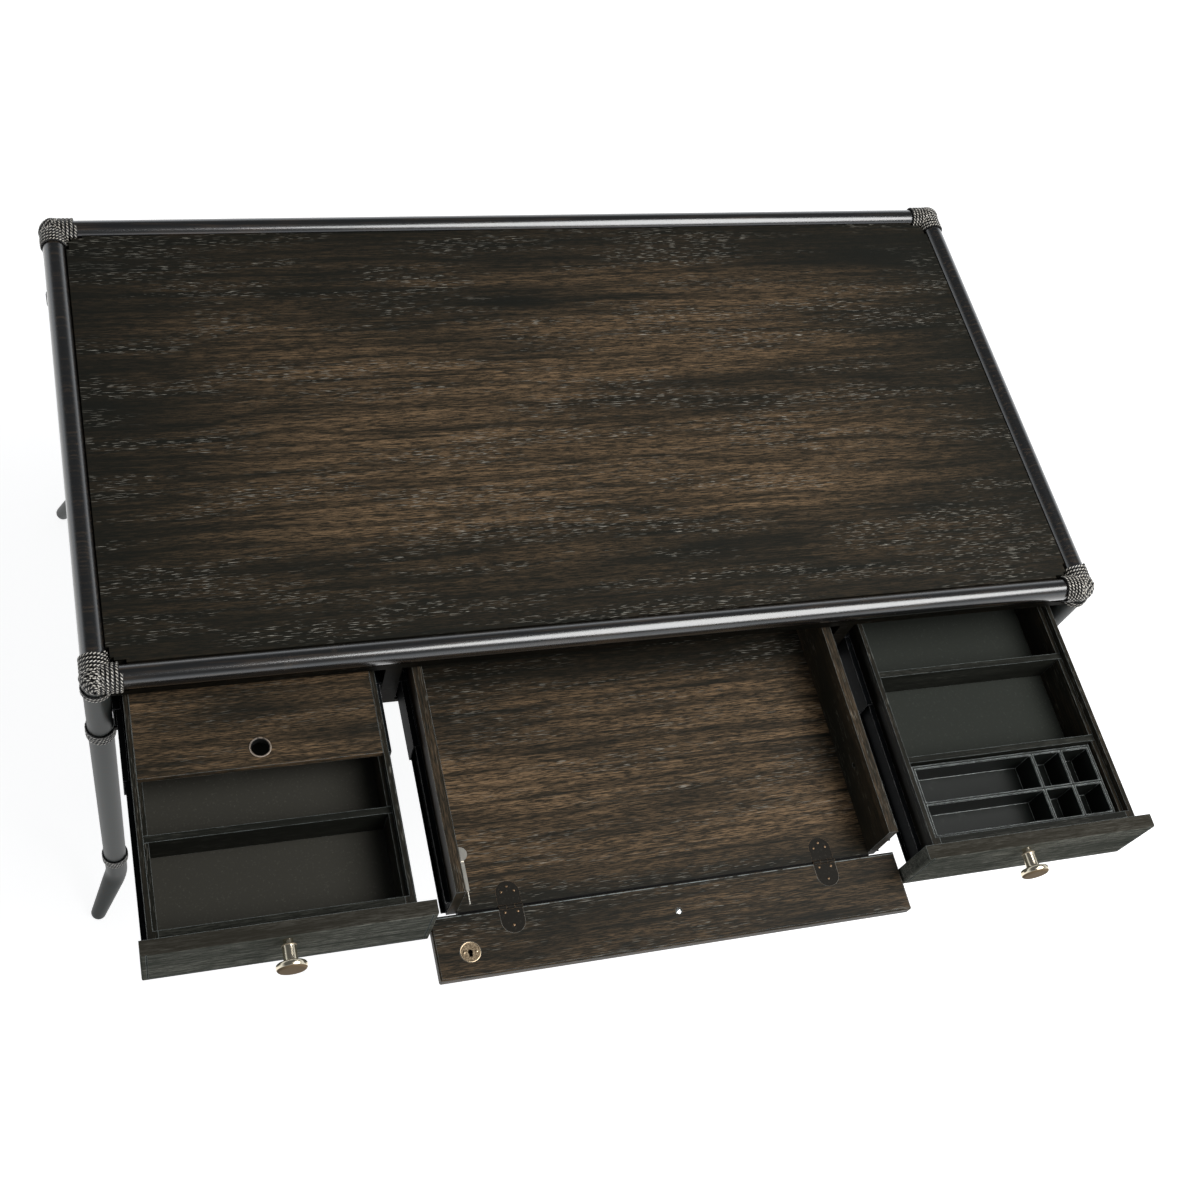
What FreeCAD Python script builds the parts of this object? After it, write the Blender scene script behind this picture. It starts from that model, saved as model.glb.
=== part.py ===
"""Writing desk on rattan-style poles, with two drawers and a drop-front centre tray.

Millimetres, +X to the sitter's right, +Y to the back, +Z up. The floor is z = 0.
Everything is drawn about the centre of the four legs and moved in Y at the end, so
that the origin lies under the middle of the whole piece as it stands, drawers out.
"""
import FreeCAD
import Part
import math
import os

from FreeCAD import Vector

# Frame of poles and legs
span_x = 1332.0
span_y = 684.0
rim_height = 742.0
pole_r = 15.0
pole_stub = 10.0
leg_r = 16.0
fit_gap = 0.3
cope_flat = 4.0
leg_top_drop = 7.0
knee_height = 104.0
knee_bend_r = 70.0
knee_bands = 4
foot_out_x = 34.0
foot_out_y = 31.0
toe_r = 11.4
toe_bands = 2
sole_cut = 0.6

# Cord bindings
cord_r = 2.2
cord_sides = 4
cord_pitch = 4.9
corner_turns = 2
wrap_thk = 3.3
knuckle_reach = 22.5
knuckle_round = 14.0
knuckle_chamfer = 5.0
leg_ring_high = 25.0
lower_ring_height = 158.0
relief_gap = 0.7

# Writing surface and case
top_rise = 7.5
case_side_thk = 13.0
case_proud = 9.7
case_drop = 121.5
case_back_thk = 13.0
partition_inner = 300.8
partition_thk = 20.8
top_rail_thk = 12.0
top_rail_depth = 40.0
bottom_rail_thk = 7.5
bottom_rail_depth = 30.0
bottom_panel_thk = 5.0
panel_tongue = 6.0

# Drawer fronts
front_thk = 18.4
front_low = 116.3
front_high = 23.6
front_lap = 12.7
front_leg_gap = 18.9
front_round = 3.0
bead_inset = 6.0
bead_width = 1.6
bead_depth = 1.0

# Drawer boxes
box_length = 500.0
box_low = 111.0
box_high = 40.4
box_side_thk = 12.1
box_front_thk = 14.0
box_back_thk = 12.0
box_lip = 6.4
ledge_drop = 10.1
floor_thk = 6.0
floor_raise = 3.0
floor_tongue = 5.0
divider_thk = 8.5
divider_ear = 12.0
divider_play = 0.3
divider_front = 122.4
divider_rear = 249.3

# Drawer travel
left_out = 302.0
right_out = 321.8
tray_out = 295.3

# Lid over the rear of the left drawer
lid_thk = 9.5
lid_start = 197.7
lid_play = 0.3
lid_hole_back = 24.0
grommet_r = 13.4
grommet_bore_r = 10.5
grommet_neck_r = 12.2
grommet_flange = 1.4

# Pencil tray in the right drawer
insert_play = 2.5
insert_start = 16.5
insert_length = 103.0
insert_height = 47.0
insert_wall = 5.5
insert_floor = 5.0
insert_long_cell = 173.5
insert_mid_cell = 39.5
insert_cross = 40.5
insert_bevel = 1.2

# Slides
slide_gap = 12.7
slide_height = 45.0
slide_low = 112.0
slide_metal = 1.2
slide_play = 0.35
slide_setback = 1.7
slide_length = 500.0
slide_reach = 9.0
middle_setback = 57.0
middle_web = 3.6
middle_reach = 10.9
inner_reach = 6.7

# Centre tray
tray_wall_thk = 12.5
tray_wall_high = 32.3
tray_wall_low = 112.0
tray_floor_top = 101.3
tray_floor_thk = 12.0
tray_back_thk = 12.0
peg_hole_r = 3.5
peg_hole_depth = 6.0
peg_hole_back = 109.0
peg_hole_drop = 66.0

# Drop front
hinge_out = 4.0
hinge_slot = 0.3
flap_half = 311.0
flap_length = 78.5
flap_thk = 14.0
flap_corner_r = 2.5
flap_edge = 2.0

# Flap hinges
leaf_x = 210.0
leaf_width = 30.0
leaf_length = 33.0
leaf_thk = 1.5
knuckle_r = 2.4
knuckle_width = 10.0
knuckle_play = 0.3
pin_r = 1.2
pin_play = 0.05
groove_gap = 0.4

# Knobs
knob_drop = 13.0
left_knob_x = 486.0
right_knob_x = 459.0
knob_neck_r = 5.8
knob_neck = 6.5
knob_stem_r = 8.35
knob_stem = 20.0
knob_head_r = 18.0
knob_head = 10.0
head_shares = ((0.86, 0.0), (1.0, 0.45), (0.86, 1.0))
flap_knob_out = 36.3
screw_r = 2.2
screw_head_r = 4.2
screw_head = 2.4

# Elbow catch on the tray wall and its plate on the flap
catch_x = 269.5
catch_drop = 53.0
catch_arm_front = 6.0
catch_arm = 41.0
catch_arm_thk = 4.0
catch_arm_high = 7.0
catch_tab_r = 9.0
catch_tab_thk = 1.6
catch_pivot_back = 26.0
catch_pivot_r = 1.5
catch_pivot_play = 0.05
catch_base_length = 18.0
catch_base_high = 14.0
catch_base_thk = 2.0
prong_r = 1.1
prong_reach = 15.0
prong_dip = 1.2
plate_r = 12.8
plate_thk = 1.5
keyhole_r = 3.0
keyhole_slot = 4.4
keyhole_length = 9.0
pocket_r = 9.0
pocket_depth = 8.0

# One overrun serves every cut
over = 2.0

# Places that the sizes above set
leg_x = span_x / 2
leg_y = span_y / 2
case_front = leg_y + case_proud
case_x = leg_x - leg_r - fit_gap
case_low = rim_height - case_drop
case_high = rim_height - pole_r - fit_gap
case_floor = case_low + bottom_rail_thk
front_inner = partition_inner + front_lap
front_outer = leg_x - front_leg_gap
board_x = leg_x - pole_r - fit_gap
board_y = leg_y - pole_r - fit_gap
partition_outer = partition_inner + partition_thk
outer_box_x = case_x - slide_gap
inner_box_x = partition_outer + slide_gap
tray_x = partition_inner - slide_gap
rail_low = case_high - top_rail_thk
box_top = rim_height - box_high
box_bottom = rim_height - box_low
ledge_z = box_top - ledge_drop
floor_z = box_bottom + floor_raise
floor_top_z = floor_z + floor_thk
slide_z = rim_height - slide_low + slide_height / 2
tray_floor_z = rim_height - tray_floor_top
hinge_y = -(case_front + tray_out + hinge_out)
pole_wrap_r = pole_r + fit_gap + wrap_thk
leg_wrap_r = leg_r + fit_gap + wrap_thk
knob_out = knob_neck + knob_stem + knob_head
foot_back = leg_y + foot_out_y + toe_r
knob_front = case_front + max(left_out, right_out) + front_thk + knob_out
flap_front = case_front + tray_out + hinge_out + flap_length
shift_y = (max(knob_front, flap_front) - foot_back) / 2


def block(x0, x1, y0, y1, z0, z1):
    """Box between two corners, given in any order."""
    low = Vector(min(x0, x1), min(y0, y1), min(z0, z1))
    return Part.makeBox(abs(x1 - x0), abs(y1 - y0), abs(z1 - z0), low)


def rod(start, end, radius):
    """Round bar from one point to another."""
    run = end - start
    return Part.makeCylinder(radius, run.Length, start, run)


def lathe(outline):
    """Solid turned about +Z from (radius, height) points that start and end on the axis."""
    points = [Vector(radius, 0, height) for radius, height in outline]
    points.append(points[0])
    face = Part.Face(Part.makePolygon(points))
    return face.revolve(Vector(0, 0, 0), Vector(0, 0, 1), 360)


def turned(shape, start, along):
    """A shape drawn on +Z from the origin, set to start at a point and run another way."""
    spin = FreeCAD.Rotation(Vector(0, 0, 1), along)
    placed = shape.copy()
    placed.Placement = FreeCAD.Placement(start, spin)
    return placed


def joined(shapes):
    """One solid from pieces that meet."""
    whole = shapes[0].fuse(shapes[1:])
    return whole.removeSplitter()


def without(shape, cutters):
    """A shape with the cutters taken out of it."""
    return shape.cut(Part.makeCompound(cutters))


def save(node, *shapes):
    """Write one node, moved so that the origin is under the middle of the piece."""
    group = shapes[0] if len(shapes) == 1 else Part.makeCompound(list(shapes))
    moved = group.copy()
    moved.translate(Vector(0, shift_y, 0))
    moved.exportStep("parts/" + node + ".step")


def corners():
    """The four corners as signs of X and Y."""
    return [(side, end) for end in (-1, 1) for side in (-1, 1)]


def corner_point(side, end, height):
    return Vector(side * leg_x, end * leg_y, height)


# Poles and legs

def long_pole(end):
    """Front or back pole, running through over the legs."""
    stub = Vector(pole_stub, 0, 0)
    left = corner_point(-1, end, rim_height) - stub
    right = corner_point(1, end, rim_height) + stub
    return rod(left, right, pole_r)


def pole_room(centre, inward):
    """Room round a pole's end, with the fitting gap, from just past a corner inward."""
    past = inward * (2 * leg_r)
    return rod(centre - past, centre + past, pole_r + fit_gap)


def side_pole(side):
    """Side pole, coped over the front and back poles."""
    front = Vector(side * leg_x, -(leg_y - cope_flat), rim_height)
    back = Vector(side * leg_x, leg_y - cope_flat, rim_height)
    rooms = [pole_room(corner_point(side, end, rim_height), Vector(1, 0, 0)) for end in (-1, 1)]
    return without(rod(front, back, pole_r), rooms)


def bent_ring(radius, centre, axis, bend):
    """Circle across a leg's run, tipped about a level axis."""
    ring = Part.makeCircle(radius)
    ring.Placement = FreeCAD.Placement(centre, FreeCAD.Rotation(axis, math.degrees(bend)))
    return Part.Wire(ring)


def foot(side, end):
    """Foot under a leg's axis: a bend in short bands, a tapered shin and a blunt toe."""
    lean = Vector(side * foot_out_x, end * foot_out_y, 0)
    toe_z = toe_r - sole_cut
    turn = math.atan2(lean.Length, knee_height - toe_z)
    outward = Vector(lean).normalize()
    start = Vector(0, 0, knee_height + knee_bend_r * math.tan(turn / 2))
    pivot = start + outward * knee_bend_r
    axis = Vector(0, 0, -1).cross(outward)
    rings = []
    for band in range(knee_bands + 1):
        bend = turn * band / knee_bands
        spoke = outward * math.cos(bend) + Vector(0, 0, math.sin(bend))
        rings.append(bent_ring(leg_r, pivot - spoke * knee_bend_r, axis, bend))
    toe = Vector(0, 0, toe_z) + lean
    along = outward * math.sin(turn) - Vector(0, 0, math.cos(turn))
    for band in range(toe_bands + 1):
        swing = (math.pi / 2 - turn) * band / toe_bands
        rings.append(bent_ring(toe_r * math.cos(swing), toe + along * (toe_r * math.sin(swing)), axis, turn))
    return start, Part.makeLoft(rings, True, True)


def leg(side, end):
    """Leg with a mouth at the top for the poles and a bent foot, drawn about its own axis."""
    start, low_piece = foot(side, end)
    centre = Vector(0, 0, rim_height)
    whole = joined([rod(start, centre - Vector(0, 0, leg_top_drop), leg_r), low_piece])
    reach = foot_out_x + foot_out_y + leg_r
    rooms = [pole_room(centre, Vector(1, 0, 0)),
             rod(centre, centre - Vector(0, end * 2 * leg_r, 0), pole_r + fit_gap),
             block(-reach, reach, -reach, reach, -toe_r, 0)]
    whole = without(whole, rooms)
    whole.translate(corner_point(side, end, 0))
    return whole


# Cord bindings

def wound_cord(core_r, turns):
    """One length of cord wound on a core along +Z, with straight ends."""
    path_r = core_r + fit_gap + cord_r

    def at(turn):
        angle = math.tau * turn
        return Vector(path_r * math.cos(angle), path_r * math.sin(angle), cord_r + cord_pitch * turn)

    edges = []
    for step in range(2 * turns):
        edges.append(Part.Arc(at(step / 2), at(step / 2 + 1 / 4), at(step / 2 + 1 / 2)).toShape())
    first = edges[0]
    last = edges[-1]
    lead = first.tangentAt(first.FirstParameter) * (2 * cord_r)
    tail = last.tangentAt(last.LastParameter) * (2 * cord_r)
    begin = at(0) - lead
    edges.insert(0, Part.LineSegment(begin, at(0)).toShape())
    edges.append(Part.LineSegment(at(turns), at(turns) + tail).toShape())
    path = Part.Wire(edges)
    return path.makePipeShell([cord_section(begin, lead)], True, False), path


def cord_section(centre, along):
    """Flat-sided outline of the cord, square to its run."""
    ahead = Vector(along).normalize()
    radial = Vector(centre.x, centre.y, 0).normalize()
    aside = ahead.cross(radial)
    out = aside.cross(ahead)
    points = []
    for corner in range(cord_sides + 1):
        angle = math.tau * (corner + 1 / 2) / cord_sides
        points.append(centre + out * (cord_r * math.cos(angle)) + aside * (cord_r * math.sin(angle)))
    return Part.makePolygon(points)


def least_gap(path, turns):
    """Least clear distance from the cord to itself, measured on points of its run."""
    count = 48 * turns
    points = path.discretize(Number=count)
    apart = count // (2 * turns)
    nearest = min(points[i].distanceToPoint(points[j])
                  for i in range(count) for j in range(i + apart, count))
    return nearest - 2 * cord_r


def corner_knuckle(side, end):
    """Bound core of a corner: a rounded block round the leg's top and both pole ends."""
    centre = corner_point(side, end, rim_height)
    top = rim_height + pole_wrap_r
    block_x = side * (leg_x + pole_wrap_r), side * (leg_x - knuckle_reach)
    block_y = end * (leg_y + pole_wrap_r), end * (leg_y - knuckle_reach)
    body = block(*block_x, *block_y, rim_height - knuckle_reach, top)
    uprights = [edge for edge in body.Edges if edge.BoundBox.ZLength > knuckle_reach]
    body = body.makeFillet(knuckle_round, uprights)
    rim = [edge for edge in body.Edges if edge.BoundBox.ZMin > top - wrap_thk]
    body = body.makeChamfer(knuckle_chamfer, rim)
    to_x = Vector(-side, 0, 0)
    past = 2 * knuckle_reach
    bore_r = pole_r + fit_gap
    bores = [rod(centre - to_x * (pole_stub + fit_gap), centre + to_x * past, bore_r),
             rod(centre, centre - Vector(0, end * past, 0), bore_r),
             rod(centre, centre - Vector(0, 0, past), leg_r + fit_gap)]
    return without(body, bores)


def corner_windings(side, end, winding):
    """Cord wound on the two poles, inward from the corner's sleeves."""
    centre = corner_point(side, end, rim_height)
    pieces = []
    for inward in (Vector(-side, 0, 0), Vector(0, -end, 0)):
        pieces.append(turned(winding, centre + inward * (knuckle_reach + fit_gap), inward))
    return pieces


def leg_rings():
    """Bound ring on every leg: one under the case and one above the knee."""
    rise = Vector(0, 0, leg_ring_high)
    pieces = []
    for side, end in corners():
        for height in (case_low - fit_gap - leg_ring_high, lower_ring_height):
            low = corner_point(side, end, height)
            ring = rod(low, low + rise, leg_wrap_r)
            pieces.append(ring.cut(rod(low, low + rise, leg_r + fit_gap)))
    return pieces


def corner_relief(side, end):
    """Room that boards leave round a bound corner."""
    centre = corner_point(side, end, rim_height)
    reach = knuckle_reach + corner_turns * cord_pitch + 2 * (cord_r + fit_gap)
    pole_space = pole_r + fit_gap + 2 * cord_r + relief_gap
    inner_x = side * (leg_x - knuckle_reach - relief_gap)
    inner_y = end * (leg_y - knuckle_reach - relief_gap)
    knuckle_space = block(side * 2 * leg_x, inner_x, end * 2 * leg_y, inner_y,
                          rim_height - knuckle_reach - relief_gap, rim_height + 2 * knuckle_reach)
    return [rod(centre, centre - Vector(side * reach, 0, 0), pole_space),
            rod(centre, centre - Vector(0, end * reach, 0), pole_space), knuckle_space]


def bound_corners():
    """Room round all four bound corners."""
    return [piece for side, end in corners() for piece in corner_relief(side, end)]


# Writing surface and case

def desktop():
    """Board set down between the poles, a little proud of their axes."""
    board = block(-board_x, board_x, -board_y, board_y, case_high, rim_height + top_rise)
    return without(board, bound_corners())


def case_side(side):
    """Case side between a front and a back leg."""
    end_y = leg_y - leg_r - fit_gap
    panel = block(side * case_x, side * (case_x + case_side_thk), -end_y, end_y, case_low, case_high)
    return without(panel, bound_corners())


def case_back():
    """Back board between the back legs, standing on the bottom panel."""
    inner = case_front - case_back_thk
    panel = block(-case_x, case_x, inner, case_front, case_floor, case_high)
    return without(panel, bound_corners())


def top_rail():
    """Front rail under the writing surface."""
    rail = block(-case_x, case_x, -case_front, -case_front + top_rail_depth, rail_low, case_high)
    return without(rail, bound_corners())


def partition(side):
    """Upright between a drawer and the centre tray, notched for the top rail."""
    board = block(side * partition_inner, side * partition_outer, -case_front,
                  case_front - case_back_thk, case_floor, case_high)
    notch = block(-leg_x, leg_x, -case_front - over, -case_front + top_rail_depth, rail_low,
                  case_high + over)
    return board.cut(notch)


def bottom_rail():
    """Front rail under the drawers, grooved at the back for the bottom panel."""
    rail = block(-case_x, case_x, -case_front, -case_front + bottom_rail_depth, case_low, case_floor)
    return rail.cut(bottom_panel_board())


def bottom_panel_board():
    """Thin bottom board, its front edge a tongue in the rail."""
    front = -case_front + bottom_rail_depth - panel_tongue
    high = case_floor - (bottom_rail_thk - bottom_panel_thk) / 2
    return block(-case_x, case_x, front, case_front, high - bottom_panel_thk, high)


def bottom_panel():
    """Bottom board with cleats that bring it up to the partitions and the back."""
    rise = (bottom_rail_thk - bottom_panel_thk) / 2
    high = case_floor
    back = block(-case_x, case_x, case_front - case_back_thk, case_front, high - rise, high)
    front = -case_front + bottom_rail_depth
    strips = [block(side * partition_inner, side * partition_outer, front, case_front, high - rise, high)
              for side in (-1, 1)]
    return joined([bottom_panel_board(), back] + strips)


# Slides

def channel(web_x, toward, reach, half_height, start, length):
    """Channel with its web at web_x and its two flanges pointing toward the other member."""
    end = start + length
    low = slide_z - half_height
    high = slide_z + half_height
    outer = block(web_x, web_x + toward * reach, start, end, low, high)
    hollow = block(web_x + toward * slide_metal, web_x + toward * (reach + over), start - over,
                   end + over, low + slide_metal, high - slide_metal)
    return outer.cut(hollow)


def slide_pairs(wall_a, toward_a, wall_b, toward_b, out):
    """Case, middle and drawer members of two slides, at a given drawer travel."""
    case_half = slide_height / 2
    middle_half = case_half - slide_metal - slide_play
    drawer_half = middle_half - slide_metal - slide_play
    case_start = -case_front + slide_setback
    middle_start = case_start + middle_setback - out / 2
    drawer_start = case_start - out
    middle_length = slide_length - middle_setback
    case_members = []
    middle_members = []
    drawer_members = []
    for wall, toward in ((wall_a, toward_a), (wall_b, toward_b)):
        drawer_face = wall + toward * slide_gap
        case_members.append(channel(wall, toward, slide_reach, case_half, case_start, slide_length))
        middle_members.append(channel(wall + toward * middle_web, toward, middle_reach - middle_web,
                                      middle_half, middle_start, middle_length))
        drawer_members.append(channel(drawer_face, -toward, inner_reach, drawer_half,
                                      drawer_start, box_length - slide_setback))
    return case_members, middle_members, drawer_members


# Drawers

def knob(length_axis, base):
    """Turned knob: thin neck, plain stem and mushroom head."""
    stem_top = knob_neck + knob_stem
    outline = [(0, 0), (knob_neck_r, 0), (knob_neck_r, knob_neck), (knob_stem_r, knob_neck),
               (knob_stem_r, stem_top)]
    for width_share, height_share in head_shares:
        outline.append((knob_head_r * width_share, stem_top + knob_head * height_share))
    outline.append((0, stem_top + knob_head))
    return turned(lathe(outline), base, length_axis)


def drawer_front(side, out):
    """Lapping front with softened edges and a fine bead on its ends and lower edge."""
    face_y = -(case_front + out + front_thk)
    back_y = face_y + front_thk
    low = rim_height - front_low
    high = rim_height - front_high
    board = block(side * front_inner, side * front_outer, face_y, back_y, low, high)
    face_edges = [edge for edge in board.Edges if abs(edge.BoundBox.YMax - face_y) < front_round]
    board = board.makeFillet(front_round, face_edges)
    groove_y = face_y + bead_depth
    inner = front_inner + bead_inset
    outer = front_outer - bead_inset
    grooves = [block(side * inner, side * (inner + bead_width), face_y - over, groove_y,
                     low + bead_inset, high + over),
               block(side * outer, side * (outer - bead_width), face_y - over, groove_y,
                     low + bead_inset, high + over),
               block(side * inner, side * outer, face_y - over, groove_y, low + bead_inset,
                     low + bead_inset + bead_width)]
    return without(board, grooves)


def divider_places(count):
    return [divider_front, divider_rear][:count]


def box_side(wall_x, inward, out, dividers):
    """Drawer side: lip and ledge along the top, floor groove, notches for the dividers."""
    front = -(case_front + out)
    back = front + box_length
    inner = wall_x + inward * box_side_thk
    side = block(wall_x, inner, front, back, box_bottom, box_top)
    ledge = block(wall_x + inward * box_lip, inner + inward * over, front + box_front_thk, back + over,
                  ledge_z, box_top + over)
    groove = block(inner - inward * floor_tongue, inner + inward * over, front - over, back + over,
                   floor_z, floor_top_z)
    cutters = [ledge, groove]
    for place in divider_places(dividers):
        cutters.append(block(wall_x + inward * box_lip, inner + inward * over,
                             front + place - divider_play, front + place + divider_thk + divider_play,
                             ledge_z - divider_ear, ledge_z + over))
    return without(side, cutters)


def drawer_inside(side):
    """Inner faces of a side drawer's walls, in order of X."""
    faces = (side * (inner_box_x + box_side_thk), side * (outer_box_x - box_side_thk))
    return min(faces), max(faces)


def box_front(side, out):
    """Inner front between the drawer's sides, grooved for the floor."""
    low_x, high_x = drawer_inside(side)
    front = -(case_front + out)
    board = block(low_x, high_x, front, front + box_front_thk, box_bottom, box_top)
    groove = block(low_x - over, high_x + over, front + box_front_thk - floor_tongue,
                   front + box_front_thk + over, floor_z, floor_top_z)
    return board.cut(groove)


def box_back(side, out):
    """Back between the drawer's sides, standing on the floor up to the ledges."""
    low_x, high_x = drawer_inside(side)
    back = -(case_front + out) + box_length
    return block(low_x, high_x, back - box_back_thk, back, floor_top_z, ledge_z)


def box_floor(side, out):
    """Floor with its edges in the grooves."""
    low_x, high_x = drawer_inside(side)
    front = -(case_front + out)
    return block(low_x - floor_tongue, high_x + floor_tongue, front + box_front_thk - floor_tongue,
                 front + box_length, floor_z, floor_top_z)


def divider(side, out, place):
    """Cross divider with an ear at each end that drops into the ledges."""
    low_x, high_x = drawer_inside(side)
    start = -(case_front + out) + place
    ear = box_side_thk - box_lip - divider_play
    board = block(low_x, high_x, start, start + divider_thk, floor_top_z, ledge_z)
    ears = block(low_x - ear, high_x + ear, start, start + divider_thk,
                 ledge_z - divider_ear, ledge_z)
    return joined([board, ears])


def side_drawer(name, side, out, dividers):
    """One side drawer, piece by piece, without its slides."""
    save(name + "_drawer_front", drawer_front(side, out))
    save(name + "_drawer_box_front", box_front(side, out))
    save(name + "_drawer_outer_side", box_side(side * outer_box_x, -side, out, dividers))
    save(name + "_drawer_inner_side", box_side(side * inner_box_x, side, out, dividers))
    save(name + "_drawer_back", box_back(side, out))
    save(name + "_drawer_floor", box_floor(side, out))
    boards = [divider(side, out, place) for place in divider_places(dividers)]
    save(name + "_drawer_divider" + "s" * (dividers - 1), *boards)
    knob_x = -left_knob_x if side < 0 else right_knob_x
    base = Vector(knob_x, -(case_front + out + front_thk), rim_height - front_high - knob_drop)
    save(name + "_drawer_knob", knob(Vector(0, -1, 0), base))


def lid_parts():
    """Lid lying on the ledges of the left drawer, and the grommet in its cable hole."""
    low_x = -(outer_box_x - box_lip - lid_play)
    high_x = -(inner_box_x + box_lip + lid_play)
    front = -(case_front + left_out) + lid_start
    back = -(case_front + left_out) + box_length
    top = ledge_z + lid_thk
    board = block(low_x, high_x, front, back, ledge_z, top)
    centre_x = (low_x + high_x) / 2
    centre = Vector(centre_x, front + lid_hole_back, ledge_z)
    up = Vector(0, 0, 1)
    hole = Part.makeCylinder(grommet_neck_r + fit_gap, lid_thk + over, centre - up * over / 2, up)
    neck = Part.makeCylinder(grommet_neck_r, lid_thk, centre, up)
    flange = Part.makeCylinder(grommet_r, grommet_flange, centre + up * lid_thk, up)
    bore = Part.makeCylinder(grommet_bore_r, lid_thk + grommet_flange + over, centre - up * over / 2, up)
    return board.cut(hole), joined([neck, flange]).cut(bore)


def pencil_tray():
    """Lift-out tray with two long cells and four short ones, in two rows."""
    low_x, high_x = drawer_inside(1)
    x0 = low_x + insert_play
    x1 = high_x - insert_play
    y0 = -(case_front + right_out) + insert_start
    y1 = y0 + insert_length
    z0 = floor_top_z
    z1 = z0 + insert_height
    body = block(x0, x1, y0, y1, z0, z1)
    first = x0 + insert_wall + insert_long_cell
    second = first + insert_wall + insert_mid_cell
    cross = y0 + insert_wall + insert_cross
    bottom = z0 + insert_floor
    columns = [(x0 + insert_wall, first), (first + insert_wall, second),
               (second + insert_wall, x1 - insert_wall)]
    rows = [(y0 + insert_wall, cross), (cross + insert_wall, y1 - insert_wall)]
    cells = [block(left, right, front, back, bottom, z1 + over)
             for left, right in columns for front, back in rows]
    hollow = without(body, cells)
    rim_edges = [edge for edge in hollow.Edges
                 if edge.BoundBox.ZMin > z1 - over / 2 and edge.Length > insert_wall + over]
    return hollow.makeChamfer(insert_bevel, rim_edges)


# Centre tray and drop front

def tray_wall(side):
    """Side wall of the centre tray."""
    front = -(case_front + tray_out)
    wall = block(side * tray_x, side * (tray_x - tray_wall_thk), front, front + box_length,
                 rim_height - tray_wall_low, rim_height - tray_wall_high)
    if side < 0:
        return wall
    start = Vector(tray_x - tray_wall_thk, front + peg_hole_back, rim_height - peg_hole_drop)
    return wall.cut(rod(start - Vector(over, 0, 0), start + Vector(peg_hole_depth, 0, 0), peg_hole_r))


def knuckle_groove(x):
    """Round groove along the hinge line for one hinge's knuckles."""
    reach = leaf_width / 2 + groove_gap
    centre = Vector(x, hinge_y, tray_floor_z)
    return rod(centre - Vector(reach, 0, 0), centre + Vector(reach, 0, 0), knuckle_r + groove_gap)


def leaf_outline(x, way, grow):
    """Half of the oval hinge: straight by the knuckles, round at the far end."""
    half_width = leaf_width / 2 + grow
    straight = leaf_length - leaf_width / 2
    z = tray_floor_z
    near_left = Vector(x - half_width, hinge_y, z)
    far_left = Vector(x - half_width, hinge_y + way * straight, z)
    tip = Vector(x, hinge_y + way * (leaf_length + grow), z)
    far_right = Vector(x + half_width, hinge_y + way * straight, z)
    near_right = Vector(x + half_width, hinge_y, z)
    edges = [Part.LineSegment(near_left, far_left).toShape(),
             Part.Arc(far_left, tip, far_right).toShape(),
             Part.LineSegment(far_right, near_right).toShape(),
             Part.LineSegment(near_right, near_left).toShape()]
    return Part.Face(Part.Wire(edges))


def leaf_pocket(x, way):
    """Sinking for one leaf, so that it lies flush."""
    pocket = leaf_outline(x, way, pin_play).extrude(Vector(0, 0, -leaf_thk))
    opening = leaf_outline(x, way, pin_play).extrude(Vector(0, 0, over))
    return [pocket, opening]


def knuckles(x, own_middle, radius, grow):
    """Knuckles of one leaf, the middle one or the outer two, or the room for them."""
    centre = Vector(x, hinge_y, tray_floor_z)
    mid = Vector(knuckle_width / 2 + grow, 0, 0)
    if own_middle:
        return [rod(centre - mid, centre + mid, radius)]
    inner = Vector(knuckle_width / 2 + knuckle_play - grow, 0, 0)
    end = Vector(leaf_width / 2, 0, 0)
    return [rod(centre - end, centre - inner, radius), rod(centre + inner, centre + end, radius)]


def hinge_leaf(x, way, own_middle):
    """One leaf with its knuckles, bored for the pin and cut clear of the other's."""
    plate = leaf_outline(x, way, 0).extrude(Vector(0, 0, -leaf_thk))
    room = knuckles(x, not own_middle, knuckle_r + knuckle_play, knuckle_play / 2)
    whole = joined([without(plate, room)] + knuckles(x, own_middle, knuckle_r, 0))
    centre = Vector(x, hinge_y, tray_floor_z)
    end = Vector(leaf_width / 2 + over, 0, 0)
    return whole.cut(rod(centre - end, centre + end, pin_r + pin_play))


def hinge_pin(x):
    centre = Vector(x, hinge_y, tray_floor_z)
    end = Vector(leaf_width / 2, 0, 0)
    return rod(centre - end, centre + end, pin_r)


def tray_floor():
    """Thick floor of the centre tray, sunk for the hinge leaves at its front edge."""
    front = hinge_y + hinge_slot
    back = -(case_front + tray_out) + box_length
    inner = tray_x - tray_wall_thk
    board = block(-inner, inner, front, back, tray_floor_z - tray_floor_thk, tray_floor_z)
    cutters = []
    for x in (-leaf_x, leaf_x):
        cutters += leaf_pocket(x, 1) + [knuckle_groove(x)]
    return without(board, cutters)


def tray_back():
    inner = tray_x - tray_wall_thk
    back = -(case_front + tray_out) + box_length
    return block(-inner, inner, back - tray_back_thk, back, tray_floor_z, rim_height - tray_wall_high)


def plate_centre():
    """Middle of the catch plate on the flap's inner face, level with the catch when closed."""
    up = tray_floor_top - catch_drop
    return Vector(-catch_x, hinge_y - up, tray_floor_z)


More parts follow.
